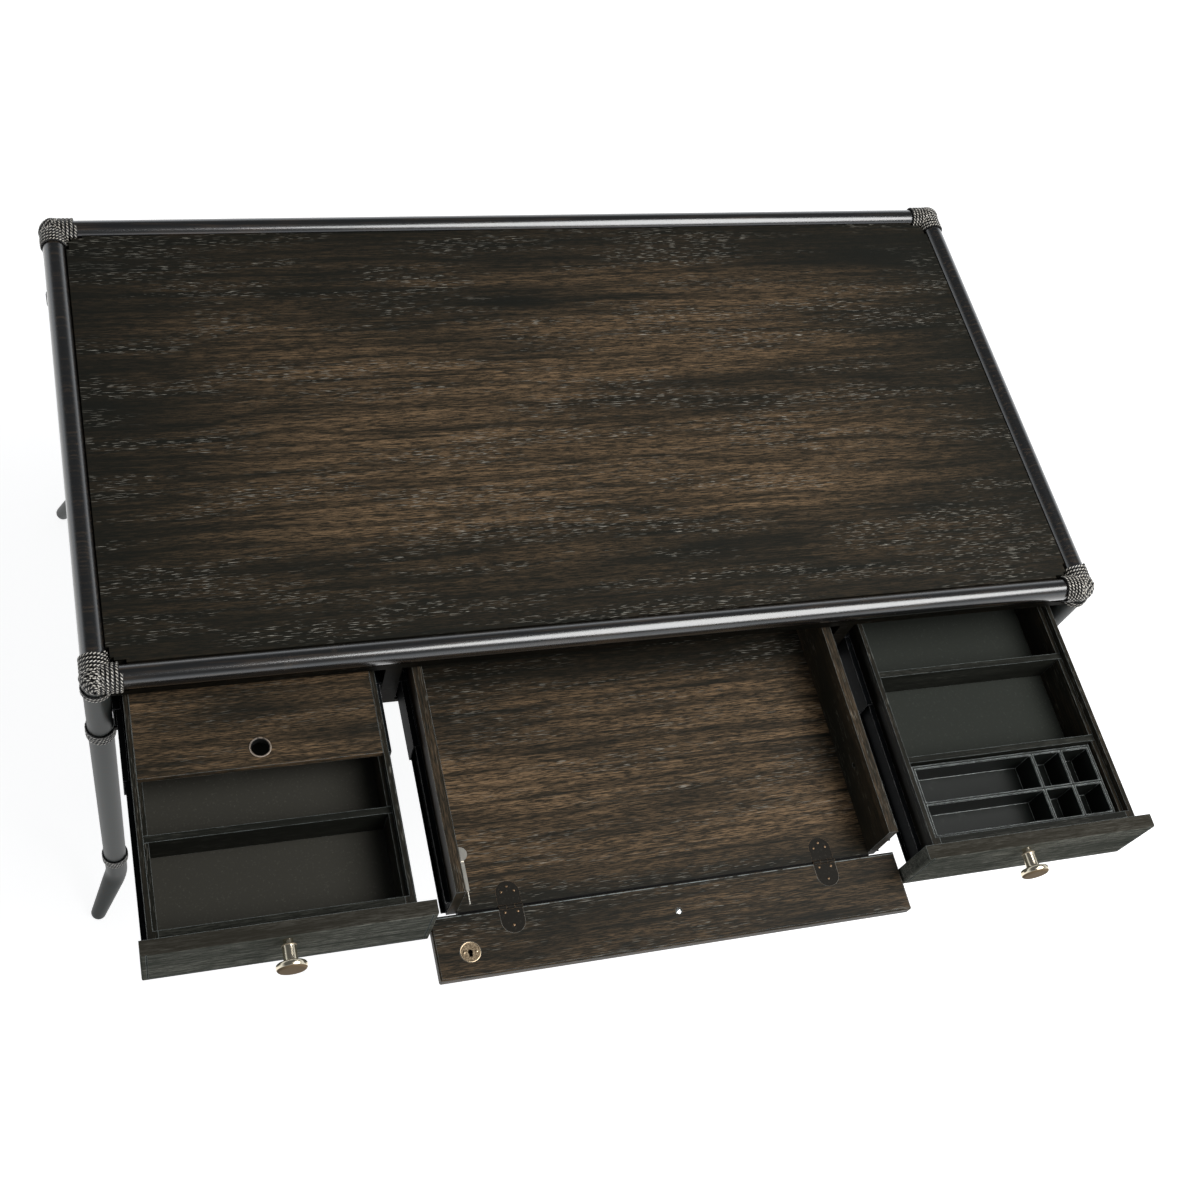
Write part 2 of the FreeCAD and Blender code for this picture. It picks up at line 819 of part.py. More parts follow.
def flap():
    """Drop front, lying open and level: bevelled rim, sunk hinges, pocket for the catch."""
    back = hinge_y - hinge_slot
    front = hinge_y - flap_length
    low = tray_floor_z - flap_thk
    board = block(-flap_half, flap_half, front, back, low, tray_floor_z)
    uprights = [edge for edge in board.Edges
                if edge.BoundBox.ZLength > flap_thk / 2 and edge.BoundBox.YMax < front + flap_thk]
    board = board.makeFillet(flap_corner_r, uprights)
    rim = [edge for edge in board.Edges
           if edge.BoundBox.ZMin > tray_floor_z - flap_edge and edge.BoundBox.YMin < back - flap_edge]
    board = board.makeChamfer(flap_edge, rim)
    down = Vector(0, 0, -1)
    cutters = []
    for x in (-leaf_x, leaf_x):
        cutters += leaf_pocket(x, -1) + [knuckle_groove(x)]
    plate = plate_centre()
    cutters.append(Part.makeCylinder(plate_r + pin_play, plate_thk, plate, down))
    cutters.append(Part.makeCylinder(pocket_r, pocket_depth, plate, down))
    screw = Vector(0, hinge_y - flap_knob_out, tray_floor_z)
    cutters.append(Part.makeCylinder(screw_r + pin_play, flap_thk + over, screw, down))
    cutters.append(Part.makeCylinder(screw_head_r + pin_play, screw_head, screw, down))
    return without(board, cutters)


def catch_plate():
    """Round plate with a keyhole slot and two screw sinkings, flush with the flap."""
    centre = plate_centre()
    down = Vector(0, 0, -1)
    disc = Part.makeCylinder(plate_r, plate_thk, centre, down)
    slot_end = centre.y - keyhole_length + keyhole_r
    hole = Part.makeCylinder(keyhole_r, plate_thk + over, centre + Vector(0, 0, over / 2), down)
    slot = block(centre.x - keyhole_slot / 2, centre.x + keyhole_slot / 2, slot_end, centre.y,
                 centre.z - plate_thk - over, centre.z + over)
    return without(disc, [hole, slot])


def flap_knob_parts():
    """Knob on the flap's outer face, with the screw that holds it from inside."""
    top = Vector(0, hinge_y - flap_knob_out, tray_floor_z)
    down = Vector(0, 0, -1)
    base = top - Vector(0, 0, flap_thk)
    screw_hole = Part.makeCylinder(screw_r, knob_neck + knob_stem / 2, base, down)
    head = Part.makeCylinder(screw_head_r, screw_head, top, down)
    shank = Part.makeCylinder(screw_r, flap_thk + knob_neck + knob_stem / 2, top, down)
    slot = block(-screw_head_r, screw_head_r, top.y - screw_r / 4, top.y + screw_r / 4,
                 top.z - screw_head / 3, top.z + over)
    return knob(down, base).cut(screw_hole), joined([head, shank]).cut(slot)


def catch_place():
    """Point on the catch's line at the front ends of the tray's walls."""
    return Vector(-catch_x, -(case_front + tray_out), rim_height - catch_drop)


def catch_base():
    """Plate on the tray's left wall with the pivot pin of the catch."""
    front = catch_place()
    wall_x = -(tray_x - tray_wall_thk)
    middle = front.y + catch_pivot_back
    plate = block(wall_x, wall_x + catch_base_thk, middle - catch_base_length / 2,
                  middle + catch_base_length / 2, front.z - catch_base_high / 2, front.z + catch_base_high / 2)
    start = Vector(wall_x, middle, front.z)
    end = Vector(-catch_x + catch_arm_thk / 2 + fit_gap, middle, front.z)
    return joined([plate, rod(start, end, catch_pivot_r)])


def catch_lever():
    """Rocking arm of the elbow catch: thumb tab behind, down-curved prong in front."""
    front = catch_place()
    x0 = -catch_x - catch_arm_thk / 2
    x1 = -catch_x + catch_arm_thk / 2
    y0 = front.y + catch_arm_front
    y1 = y0 + catch_arm
    arm = block(x0, x1, y0, y1, front.z - catch_arm_high / 2, front.z + catch_arm_high / 2)
    tab_z = front.z + catch_arm_high / 2
    tab_centre = Vector(x0, y1 + catch_tab_r - catch_arm_thk, tab_z)
    tab = Part.makeCylinder(catch_tab_r, catch_tab_thk, tab_centre, Vector(0, 0, 1), 180)
    tab.rotate(tab_centre, Vector(0, 0, 1), -90)
    root = block(x0, x1, y1 - catch_arm_thk, y1, front.z, tab_z + catch_tab_thk)
    start = Vector(-catch_x, y0 + prong_r, front.z)
    tip = Vector(-catch_x, y0 - prong_reach, front.z - prong_dip)
    whole = joined([arm, root, tab, rod(start, tip, prong_r)])
    pivot = Vector(x0 - over, front.y + catch_pivot_back, front.z)
    return whole.cut(rod(pivot, pivot + Vector(catch_arm_thk + 2 * over, 0, 0), catch_pivot_r + catch_pivot_play))


def save_frame():
    """Poles, legs and their bindings."""
    for name, end in (("front", -1), ("back", 1)):
        save(name + "_pole", long_pole(end))
    for name, side in (("left", -1), ("right", 1)):
        save(name + "_pole", side_pole(side))
    for side, end in corners():
        name = ("front" if end < 0 else "back") + ("_left" if side < 0 else "_right")
        save(name + "_leg", leg(side, end))
    winding, path = wound_cord(pole_r, corner_turns)
    print("least gap of a corner winding to itself:", round(least_gap(path, corner_turns), 2))
    pieces = []
    for side, end in corners():
        pieces.append(corner_knuckle(side, end))
        pieces += corner_windings(side, end, winding)
    save("corner_bindings", *pieces)
    save("leg_bindings", *leg_rings())


def save_case():
    """Writing surface and the case under it."""
    save("desktop", desktop())
    save("case_left_side", case_side(-1))
    save("case_right_side", case_side(1))
    save("case_back", case_back())
    save("left_partition", partition(-1))
    save("right_partition", partition(1))
    save("top_rail", top_rail())
    save("bottom_rail", bottom_rail())
    save("bottom_panel", bottom_panel())


def save_slides():
    """Three pairs of three-member slides."""
    places = {"left": (-case_x, 1, -partition_outer, -1, left_out),
              "right": (partition_outer, 1, case_x, -1, right_out),
              "tray": (-partition_inner, 1, partition_inner, -1, tray_out)}
    for name, place in places.items():
        case_members, middle_members, drawer_members = slide_pairs(*place)
        save(name + "_case_slides", *case_members)
        save(name + "_middle_slides", *middle_members)
        save(name + "_drawer_slides", *drawer_members)


def save_drawers():
    """Both side drawers with the lid and the pencil tray."""
    side_drawer("left", -1, left_out, 1)
    side_drawer("right", 1, right_out, 2)
    lid, grommet = lid_parts()
    save("left_drawer_lid", lid)
    save("lid_grommet", grommet)
    save("pencil_tray", pencil_tray())


def save_tray():
    """Centre tray, its drop front, hinges, knob and catch."""
    save("tray_floor", tray_floor())
    save("tray_left_wall", tray_wall(-1))
    save("tray_right_wall", tray_wall(1))
    save("tray_back", tray_back())
    save("tray_hinge_leaves", *[hinge_leaf(x, 1, True) for x in (-leaf_x, leaf_x)])
    save("flap", flap())
    save("flap_hinge_leaves", *[hinge_leaf(x, -1, False) for x in (-leaf_x, leaf_x)])
    save("hinge_pins", *[hinge_pin(x) for x in (-leaf_x, leaf_x)])
    knob_piece, screw = flap_knob_parts()
    save("flap_knob", knob_piece)
    save("flap_knob_screw", screw)
    save("catch_plate", catch_plate())
    save("catch_base", catch_base())
    save("catch_lever", catch_lever())


os.makedirs("parts", exist_ok=True)
save_frame()
save_case()
save_slides()
save_drawers()
save_tray()
print("origin moved in Y by", round(shift_y, 3))
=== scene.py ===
"""Writing desk with bound poles: finish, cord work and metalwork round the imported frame."""
import math

import bpy
from bpy.props import FloatProperty, FloatVectorProperty, IntProperty, PointerProperty
from bpy.types import NodeSocket, Operator, Panel, PropertyGroup
from mathutils import Matrix, Vector, noise


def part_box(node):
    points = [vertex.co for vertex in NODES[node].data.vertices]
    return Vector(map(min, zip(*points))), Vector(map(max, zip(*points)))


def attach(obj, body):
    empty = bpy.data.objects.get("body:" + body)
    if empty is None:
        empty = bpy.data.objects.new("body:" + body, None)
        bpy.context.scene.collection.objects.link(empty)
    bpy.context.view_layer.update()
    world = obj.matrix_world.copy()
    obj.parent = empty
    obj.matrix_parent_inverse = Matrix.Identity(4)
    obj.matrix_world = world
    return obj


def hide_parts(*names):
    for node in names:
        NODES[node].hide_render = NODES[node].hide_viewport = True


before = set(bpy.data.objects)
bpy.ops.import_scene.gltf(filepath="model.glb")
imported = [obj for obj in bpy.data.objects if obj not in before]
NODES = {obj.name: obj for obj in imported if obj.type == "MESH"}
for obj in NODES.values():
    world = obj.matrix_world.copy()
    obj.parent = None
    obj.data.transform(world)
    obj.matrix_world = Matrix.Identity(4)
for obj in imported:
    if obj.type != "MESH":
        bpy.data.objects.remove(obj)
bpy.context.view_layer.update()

bl_info = {
    "name": "Bound-pole writing desk",
    "version": (1, 0, 0),
    "blender": (4, 5, 0),
    "location": "View3D > Sidebar > Desk",
    "description": "Dresses the writing desk's frame in its wood, lacquer, cord and brass",
    "category": "Object",
}

UP = Vector((0, 0, 1))
MM = 0.001
CLOSED = 0.00002  # radius at which an outline closes on its axis
PLY_SIDES = 6
TURNED_SIDES = 48
SHARP_ANGLE = math.radians(38)
CORNERS = [(side, end) for end in (-1, 1) for side in (-1, 1)]


def middle(node):
    """Middle of a node's box."""
    low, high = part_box(node)
    return (low + high) / 2


def floor_point(node):
    """Point on the floor under a node's middle."""
    centre = middle(node)
    return Vector((centre.x, centre.y, 0))


def scaled(colour, factor):
    return tuple(factor * part for part in colour)


def length_property(name, text, default):
    return FloatProperty(name=name, description=text, default=default, min=0.0, unit="LENGTH", precision=5)


def colour_property(name, text, default):
    return FloatVectorProperty(name=name, description=text, default=default, size=3, min=0.0, max=1.0,
                               subtype="COLOR")


class DeskSizes(PropertyGroup):
    """Sizes of the finishing work."""
    cord: length_property("Cord", "Width of the flattened two-ply cord", 0.0052)
    ply: length_property("Ply", "Radius of one ply of the cord", 0.00135)
    cord_rise: length_property("Cord rise", "How far a ply rises over the other", 0.00035)
    cord_lay: length_property("Cord lay", "Length of one twist of the cord", 0.0082)
    wrap_reach: length_property("Wrap reach", "How far the wraps run along a pole from the corner", 0.0300)
    ring_height: length_property("Ring height", "Height of the cord rings on the legs", 0.025)
    toe: length_property("Toe", "Radius of the rounded toe", 0.0114)
    knee_height: length_property("Knee height", "Height of the bend in a leg", 0.104)
    knee_bend: length_property("Knee bend", "Radius of the bend in a leg", 0.070)
    board_edge: length_property("Board edge", "Softening of the boards' edges", 0.0009)
    seam_edge: length_property("Seam edge", "Softening along the seam before the drop front", 0.0015)
    # The black seam line is painted shade in the gap before the drop front.
    seam_shade_line: length_property("Seam line", "Half width of the black line along that seam", 0.0018)
    metal_edge: length_property("Metal edge", "Softening of the metal edges", 0.0002)
    # The line along an edge is a painted highlight on wood, slides and pencil tray, and worn copper on the
    # hinges.
    edge_line_width: length_property("Worn edge", "Width of the worn line along an edge", 0.0009)
    screw: length_property("Screw", "Radius of a small screw head", 0.0021)
    hinge_width: length_property("Hinge width", "Width of a hinge leaf", 0.030)
    plate_rim: length_property("Plate rim", "Thickness of the raised rim of the round plate", 0.0013)
    round_steps: IntProperty(name="Round steps", description="Faces round a pole", default=56, min=12)


class DeskColours(PropertyGroup):
    """Colours of the finishes."""
    lacquer: colour_property("Lacquer", "Black lacquer on the poles", (0.006, 0.006, 0.006))
    rubbed: colour_property("Rubbed", "Brown cane where the lacquer is rubbed", (0.065, 0.042, 0.024))
    leg: colour_property("Leg", "Grey-black lacquer on the legs", (0.033, 0.038, 0.036))
    cord: colour_property("Cord", "Dark waxed cord", (0.008, 0.007, 0.006))
    # Painted highlight: the glints on the crests of the cord's plies.
    cord_glint: colour_property("Worn cord", "Light strands on the crests of the cord", (1.0, 0.94, 0.83))
    wood: colour_property("Wood", "Ebonised wood", (0.012, 0.0125, 0.010))
    wood_warm: colour_property("Warm wood", "Brown streaks in the wood", (0.220, 0.142, 0.078))
    wood_pore: colour_property("Pores", "Grey pores in the wood", (0.42, 0.40, 0.34))
    lining: colour_property("Lining", "Dark ply inside the drawers", (0.018, 0.019, 0.015))
    lining_light: colour_property("Lining flecks", "Grey-green flecks of the ply", (0.150, 0.150, 0.124))
    front: colour_property("Front", "Grey-green wood of the drawer fronts", (0.046, 0.049, 0.041))
    front_light: colour_property("Front streaks", "Grey streaks of the drawer fronts", (0.230, 0.226, 0.194))
    # Painted shade: the upper faces of the drawer fronts go toward this colour.
    crown: colour_property("Crown", "Brown-black tops of the drawer fronts", (0.022, 0.017, 0.012))
    left_floor: colour_property("Left floor", "Ply of the left drawer's floor", (0.047, 0.045, 0.037))
    right_floor: colour_property("Right floor", "Ply of the right drawer's floor", (0.030, 0.033, 0.028))
    # Painted highlight: the grey-blue lines along the wood's edges and beside the seam stand in for light on
    # the edges, broken up like wear.
    edge: colour_property("Edge wear", "Grey-blue lines where edges are worn", (0.27, 0.30, 0.295))
    # Painted highlight: the light lines along the pencil tray's rims.
    rim: colour_property("Rim wear", "Light lines where rims are worn through", (0.82, 0.88, 0.86))
    hinge: colour_property("Hinge", "Brown-black paint of the hinges", (0.017, 0.015, 0.012))
    copper: colour_property("Copper", "Copper showing at the edges of the hinges", (0.34, 0.22, 0.13))
    steel: colour_property("Steel", "Black slides", (0.007, 0.008, 0.009))
    # Also the painted highlight along the slides' edges.
    bright: colour_property("Bright steel", "Screws and worn metal lines", (0.60, 0.60, 0.60))
    brass: colour_property("Brass", "Pale brass of the knobs", (0.84, 0.75, 0.58))
    brass_dark: colour_property("Brass patina", "Patina on the brass", (0.12, 0.085, 0.05))
    antique: colour_property("Antique brass", "Brass of the plate", (0.46, 0.36, 0.24))
    floor: colour_property("Floor", "Pale floor", (0.64, 0.64, 0.64))


# Node trees

def feed(tree, socket, value):
    """Links a socket to another one, or gives it a value; a colour gets its alpha."""
    if isinstance(value, NodeSocket):
        tree.links.new(value, socket)
    elif socket.type == "RGBA":
        socket.default_value = (*value, 1.0)[:4]
    else:
        socket.default_value = value


def add_node(tree, kind, settings=None, **inputs):
    """One node with its settings; an input goes by its label, or by its place as i0, i1 and so on."""
    made = tree.nodes.new(kind)
    for name, value in (settings or {}).items():
        setattr(made, name, value)
    for name, value in inputs.items():
        key = int(name[1:]) if name[1:].isdigit() else name.replace("_", " ")
        feed(tree, made.inputs[key], value)
    return made


def math_node(tree, operation, first, second=0.0):
    return add_node(tree, "ShaderNodeMath", {"operation": operation}, i0=first, i1=second).outputs[0]


def times(tree, first, second):
    return math_node(tree, "MULTIPLY", first, second)


def plus(tree, first, second):
    return math_node(tree, "ADD", first, second)


def minus(tree, first, second):
    return math_node(tree, "SUBTRACT", first, second)


def linear(tree, value, slope, base):
    """Value times slope, on top of a base."""
    return plus(tree, times(tree, value, slope), base)


def mix_colour(tree, share, first, second):
    """Colour between two colours."""
    return add_node(tree, "ShaderNodeMix", {"data_type": "RGBA"}, i0=share, i6=first, i7=second).outputs[2]


def part_of(tree, vector, axis):
    return add_node(tree, "ShaderNodeSeparateXYZ", Vector=vector).outputs[axis]


def stretch(tree, vector, scale):
    return add_node(tree, "ShaderNodeMapping", Vector=vector, Scale=scale).outputs[0]


def noise_value(tree, place, scale, detail=3.0, roughness=0.5):
    """Noise at a scale; three numbers stretch it along the axes."""
    if isinstance(scale, tuple):
        place, scale = stretch(tree, place, scale), 1.0
    return add_node(tree, "ShaderNodeTexNoise", Vector=place, Scale=scale, Detail=detail,
                    Roughness=roughness).outputs["Fac"]


def ramp(tree, value, low, high):
    """Value spread from 0 at low to 1 at high, with soft ends."""
    return add_node(tree, "ShaderNodeMapRange", {"interpolation_type": "SMOOTHSTEP"}, Value=value,
                    From_Min=low, From_Max=high).outputs[0]


def crest_value(tree):
    """What the mesh says about each point: the crest of a ply, or how aged the metal is."""
    return add_node(tree, "ShaderNodeAttribute", {"attribute_name": "crest"}).outputs["Fac"]


def fill_grain(tree, given, result):
    """Open-pored wood with its grain along X: streaks, arched figure and pores."""
    place = given["Place"]
    drift = noise_value(tree, place, (2.2, 15.0, 15.0), 2.0)
    arched = add_node(tree, "ShaderNodeTexWave", {"bands_direction": "Y"},
                      Vector=stretch(tree, place, (0.22, 1.0, 1.0)), Scale=11.0, Distortion=9.0, Detail=2.5,
                      Detail_Scale=1.2)
    streak = noise_value(tree, place, (3.4, 150.0, 150.0), 5.0, 0.68)
    fibre = noise_value(tree, place, (60.0, 900.0, 900.0), 3.0, 0.75)
    dash = noise_value(tree, place, (58.0, 1150.0, 1150.0), 1.0, 0.4)
    cluster = noise_value(tree, place, (5.0, 42.0, 42.0))
    ring = ramp(tree, arched.outputs["Fac"], 0.93, 0.70)
    warm = times(tree, ramp(tree, drift, 0.20, 0.66), ramp(tree, streak, 0.24, 0.62))
    warm = times(tree, warm, linear(tree, ring, 0.45, 0.55))
    warm = times(tree, warm, plus(tree, ramp(tree, fibre, 0.40, 0.64), 0.08))
    warm = times(tree, warm, times(tree, given["Warmth"], given["Shade"]))
    colour = mix_colour(tree, math_node(tree, "MINIMUM", warm, 1.0), given["Dark"], given["Warm"])
    pore = times(tree, ramp(tree, dash, 0.63, 0.70), ramp(tree, cluster, 0.46, 0.64))
    pore = times(tree, pore, given["Pores"])
    feed(tree, result["Colour"], mix_colour(tree, pore, colour, given["Pore"]))
    feed(tree, result["Roughness"], linear(tree, pore, 0.2, linear(tree, fibre, 0.25, 0.32)))
    feed(tree, result["Height"], minus(tree, times(tree, fibre, 0.5), pore))


def fill_wear(tree, given, result):
    """Wear that lies in patches and fine scratches, as a mask."""
    patch = noise_value(tree, given["Place"], given["Size"], 5.0, 0.65)
    grit = noise_value(tree, given["Place"], times(tree, given["Size"], 22.0), 2.0)
    edge = minus(tree, 0.78, times(tree, given["Amount"], 0.45))
    spread = ramp(tree, patch, edge, plus(tree, edge, 0.16))
    feed(tree, result["Mask"], times(tree, spread, ramp(tree, grit, 0.25, 0.6)))
    feed(tree, result["Grit"], grit)


def fill_edge(tree, given, result):
    """Mask of the edges, broken up along their length: worn copper on the hinges, painted highlight
    elsewhere.
    """
    rounded = add_node(tree, "ShaderNodeBevel", {"samples": 4}, Radius=given["Width"]).outputs[0]
    flat = add_node(tree, "ShaderNodeNewGeometry").outputs["Normal"]
    dot = add_node(tree, "ShaderNodeVectorMath", {"operation": "DOT_PRODUCT"}, i0=rounded, i1=flat)
    turned = ramp(tree, minus(tree, 1.0, dot.outputs["Value"]), 0.02, 0.14)
    broken = ramp(tree, noise_value(tree, given["Place"], 90.0, 4.0, 0.7), 0.30, 0.58)
    feed(tree, result["Mask"], times(tree, turned, linear(tree, broken, 0.75, 0.25)))


FLOAT, COLOUR, VECTOR = "NodeSocketFloat", "NodeSocketColor", "NodeSocketVector"
GROUPS = {
    "open_pored_grain": (fill_grain, {"Place": VECTOR, "Dark": COLOUR, "Warm": COLOUR, "Pore": COLOUR,
                                      "Warmth": FLOAT, "Pores": FLOAT, "Shade": FLOAT},
                         {"Colour": COLOUR, "Roughness": FLOAT, "Height": FLOAT}),
    "patchy_wear": (fill_wear, {"Place": VECTOR, "Size": FLOAT, "Amount": FLOAT},
                    {"Mask": FLOAT, "Grit": FLOAT}),
    "edge_wear_and_highlight": (fill_edge, {"Place": VECTOR, "Width": FLOAT}, {"Mask": FLOAT}),
}


def use_group(tree, name, **inputs):
    """Outputs of a shared group placed in a tree; the group is made and filled at its first use."""
    if name not in bpy.data.node_groups:
        fill, *sides = GROUPS[name]
        group = bpy.data.node_groups.new(name, "ShaderNodeTree")
        for way, sockets in zip(("INPUT", "OUTPUT"), sides):
            for label, kind in sockets.items():
                group.interface.new_socket(name=label, in_out=way, socket_type=kind)
        fill(group, group.nodes.new("NodeGroupInput").outputs, group.nodes.new("NodeGroupOutput").inputs)
    return add_node(tree, "ShaderNodeGroup", {"node_tree": bpy.data.node_groups[name]}, **inputs).outputs


def worn_and_lit_edges(tree, place, colour, width, light):
    """Colour with a lighter line along the edges: worn copper on the hinges, a painted highlight elsewhere.
    """
    wear = use_group(tree, "edge_wear_and_highlight", Place=place, Width=width)
    return mix_colour(tree, wear["Mask"], colour, light)


def start_material(name, specular):
    """Material with a Principled shader, its inputs, and the object's own place as coordinates."""
    made = bpy.data.materials.new(name)
    made.use_nodes = True
    tree = made.node_tree
    shader = tree.nodes["Principled BSDF"].inputs
    shader["Specular IOR Level"].default_value = specular
    return made, tree, shader, add_node(tree, "ShaderNodeTexCoord").outputs["Object"]


def finish_shader(tree, shader, colour, roughness, height, depth):
    """Colour, roughness and a bump whose depth is in millimetres."""
    feed(tree, shader["Base Color"], colour)
    feed(tree, shader["Roughness"], roughness)
    bump = add_node(tree, "ShaderNodeBump", Height=height, Distance=depth * MM)
    feed(tree, shader["Normal"], bump.outputs[0])


Y_GRAIN = (0.0, 0.0, math.pi / 2)
# Painted shade: the black in the gap of the seam before the drop front.
SEAM_SHADE_BLACK = (0.002, 0.002, 0.002)


def wood_material(name, colours, warmth, pores, shift=(0.0, 0.0, 0.0), turn=(0.0, 0.0, 0.0), dark_share=1.0,
                  panel=None, specular=0.10, edge=0.0, tones=None, seam=None, crown=None):
    """Ebonised wood. turn and shift lay its grain, panel is a board whose edges stay darker, seam is a line
    in Y painted as shade with a highlight, edge paints a highlight along the edges, and crown is the painted
    shade on its upper faces."""
    made, tree, shader, place = start_material(name, specular)
    laid = add_node(tree, "ShaderNodeMapping", Vector=place, Rotation=turn, Location=shift).outputs[0]
    shade = panel_shade(tree, place, panel) if panel else 1.0
    first, second = tones or (colours.wood, colours.wood_warm)
    grain = use_group(tree, "open_pored_grain", Place=laid, Dark=scaled(first, dark_share), Warm=second,
                      Pore=colours.wood_pore, Warmth=warmth, Pores=pores, Shade=shade)
    colour = grain["Colour"]
    if crown is not None:
        # Painted shade: faces that look up are darkened toward crown.
        facing = add_node(tree, "ShaderNodeTexCoord").outputs["Normal"]
        upper = times(tree, ramp(tree, part_of(tree, facing, 2), 0.5, 0.8), 0.7)
        colour = mix_colour(tree, upper, colour, crown)
    if edge:
        colour = worn_and_lit_edges(tree, place, colour, edge, colours.edge)
    if seam:
        colour = seam_shade_line(tree, place, colour, seam, colours.edge)
    finish_shader(tree, shader, colour, grain["Roughness"], grain["Height"], 0.15)
    return made


def seam_shade_line(tree, place, colour, seam, light):
    """Colour with painted shade as a black line in the gap of a seam in Y, and a thin painted highlight on
    the edge just before it.
    """
    line, half = seam
    ahead = minus(tree, part_of(tree, place, 1), line)
    # from_highlight and worn place a painted highlight on the edge before the seam.
    from_highlight = math_node(tree, "ABSOLUTE", plus(tree, ahead, 1.5 * half))
    worn = ramp(tree, from_highlight, 0.30 * half, 0.18 * half)
    broken = ramp(tree, noise_value(tree, place, 60.0, 4.0, 0.7), 0.32, 0.55)
    colour = mix_colour(tree, times(tree, worn, broken), colour, light)
    # dark: the painted shade in the seam's gap.
    dark = ramp(tree, math_node(tree, "ABSOLUTE", ahead), 1.1 * half, 0.7 * half)
    return mix_colour(tree, dark, colour, SEAM_SHADE_BLACK)


def panel_shade(tree, place, panel):
    """Share of warmth over a board: full in the middle, less toward its edges."""
    shares = []
    for axis in (0, 1):
        low, high = (corner[axis] for corner in panel)
        away = math_node(tree, "ABSOLUTE", minus(tree, part_of(tree, place, axis), (low + high) / 2))
        shares.append(ramp(tree, math_node(tree, "DIVIDE", away, (high - low) / 2), 1.05, 0.45))
    return plus(tree, times(tree, *shares), 0.12)


def lacquer_material(name, base, rubbed, roughness, amount, specular, coat=0.0):
    """Lacquer over cane, rubbed through in patches and along its fibres."""
    made, tree, shader, place = start_material(name, specular)
    wear = use_group(tree, "patchy_wear", Place=place, Size=26.0, Amount=amount)["Mask"]
    fibres = ramp(tree, noise_value(tree, place, (9.0, 260.0, 260.0), 3.0, 0.6), 0.48, 0.72)
    worn = times(tree, plus(tree, wear, fibres), 0.6)
    colour = mix_colour(tree, math_node(tree, "MINIMUM", worn, 1.0), base, rubbed)
    shader["Coat Weight"].default_value = coat
    shader["Coat Roughness"].default_value = 0.2
    shader["Coat IOR"].default_value = 1.85
    finish_shader(tree, shader, colour, linear(tree, wear, 0.15, roughness),
                  noise_value(tree, place, (40.0, 240.0, 240.0), 2.0), 0.05)
    return made


def cord_material(colours):
    """Waxed two-ply cord, with glints painted light on the crests of its plies."""
    made, tree, shader, place = start_material("binding_cord", 0.6)
    wear = use_group(tree, "patchy_wear", Place=place, Size=110.0, Amount=0.9)
    strands = ramp(tree, noise_value(tree, place, 520.0, 2.0), 0.26, 0.48)
    # worn: the painted glint on the crests, broken up by strands and patches.
    worn = times(tree, ramp(tree, crest_value(tree), 0.72, 0.90), strands)
    worn = times(tree, worn, linear(tree, wear["Mask"], 0.35, 0.65))
    finish_shader(tree, shader, mix_colour(tree, worn, colours.cord, colours.cord_glint),
                  linear(tree, wear["Grit"], 0.2, 0.24), noise_value(tree, place, 2600.0, 2.0), 0.06)
    return made


def metal_material(name, bright, dark, roughness, size, amount, specular=0.5, aged=False):
    """Metal with darker patina in patches, and where the mesh says that it is aged."""
    made, tree, shader, place = start_material(name, specular)
    shader["Metallic"].default_value = 1.0
    wear = use_group(tree, "patchy_wear", Place=place, Size=size, Amount=amount)
    colour = mix_colour(tree, wear["Mask"], bright, dark)
    rough = linear(tree, wear["Mask"], 0.3, roughness)
    if aged:
        crest = crest_value(tree)
        feed(tree, shader["Metallic"], minus(tree, 1.0, crest))
        colour = mix_colour(tree, crest, colour, scaled(dark, 1.4))
        rough = linear(tree, crest, 0.5, rough)
    finish_shader(tree, shader, colour, rough, wear["Grit"], 0.03)
    return made


def plain_material(name, base, roughness, size, lift, specular, edge=0.0, light=None):
    """Painted or moulded surface with a slight mottling; light colours the line along its edges: worn copper
    on hinges, painted highlight on slides and trays.
    """
    made, tree, shader, place = start_material(name, specular)
    wear = use_group(tree, "patchy_wear", Place=place, Size=size, Amount=0.5)
    colour = mix_colour(tree, wear["Mask"], base, scaled(base, lift))
    if edge:
        colour = worn_and_lit_edges(tree, place, colour, edge, light)
    finish_shader(tree, shader, colour, linear(tree, wear["Grit"], 0.15, roughness), wear["Grit"], 0.05)
    return made


# Meshes: a shape is a list of vertices and a list of faces

def add_piece(name, shape, material, body, replaced=(), crests=None):
    """A piece of the desk that rides on a body and takes the given material."""
    vertices, faces = shape
    mesh = bpy.data.meshes.new(name)
    mesh.from_pydata([tuple(v) for v in vertices], [], faces)
    mesh.update()
    mesh.materials.append(material)
    mesh.shade_smooth()
    mesh.set_sharp_from_angle(angle=SHARP_ANGLE)
    if crests:
        mesh.attributes.new("crest", "FLOAT", "POINT").data.foreach_set("value", crests)
    piece = bpy.data.objects.new(name, mesh)
    bpy.context.scene.collection.objects.link(piece)
    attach(piece, body)
    if replaced:
        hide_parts(*replaced)


def join_shapes(shapes):
    """One shape from several."""
    vertices = []
    faces = []
    for part_vertices, part_faces in shapes:
        start = len(vertices)
        vertices += part_vertices
        faces += [tuple(index + start for index in face) for face in part_faces]
    return vertices, faces


def tube_faces(rows, sides, caps=True):
    """Faces between rows of points, and over both ends."""
    faces = []
    for row in range(rows - 1):
        for side in range(sides):
            low = row * sides + side
            low_next = row * sides + (side + 1) % sides
            faces.append((low, low_next, low_next + sides, low + sides))
    if caps:
        faces.append(tuple(range(sides - 1, -1, -1)))
        faces.append(tuple(range((rows - 1) * sides, rows * sides)))
    return faces


def heading(points, index):
    """Direction of a line of points at one of them."""
    return (points[min(index + 1, len(points) - 1)] - points[max(index - 1, 0)]).normalized()


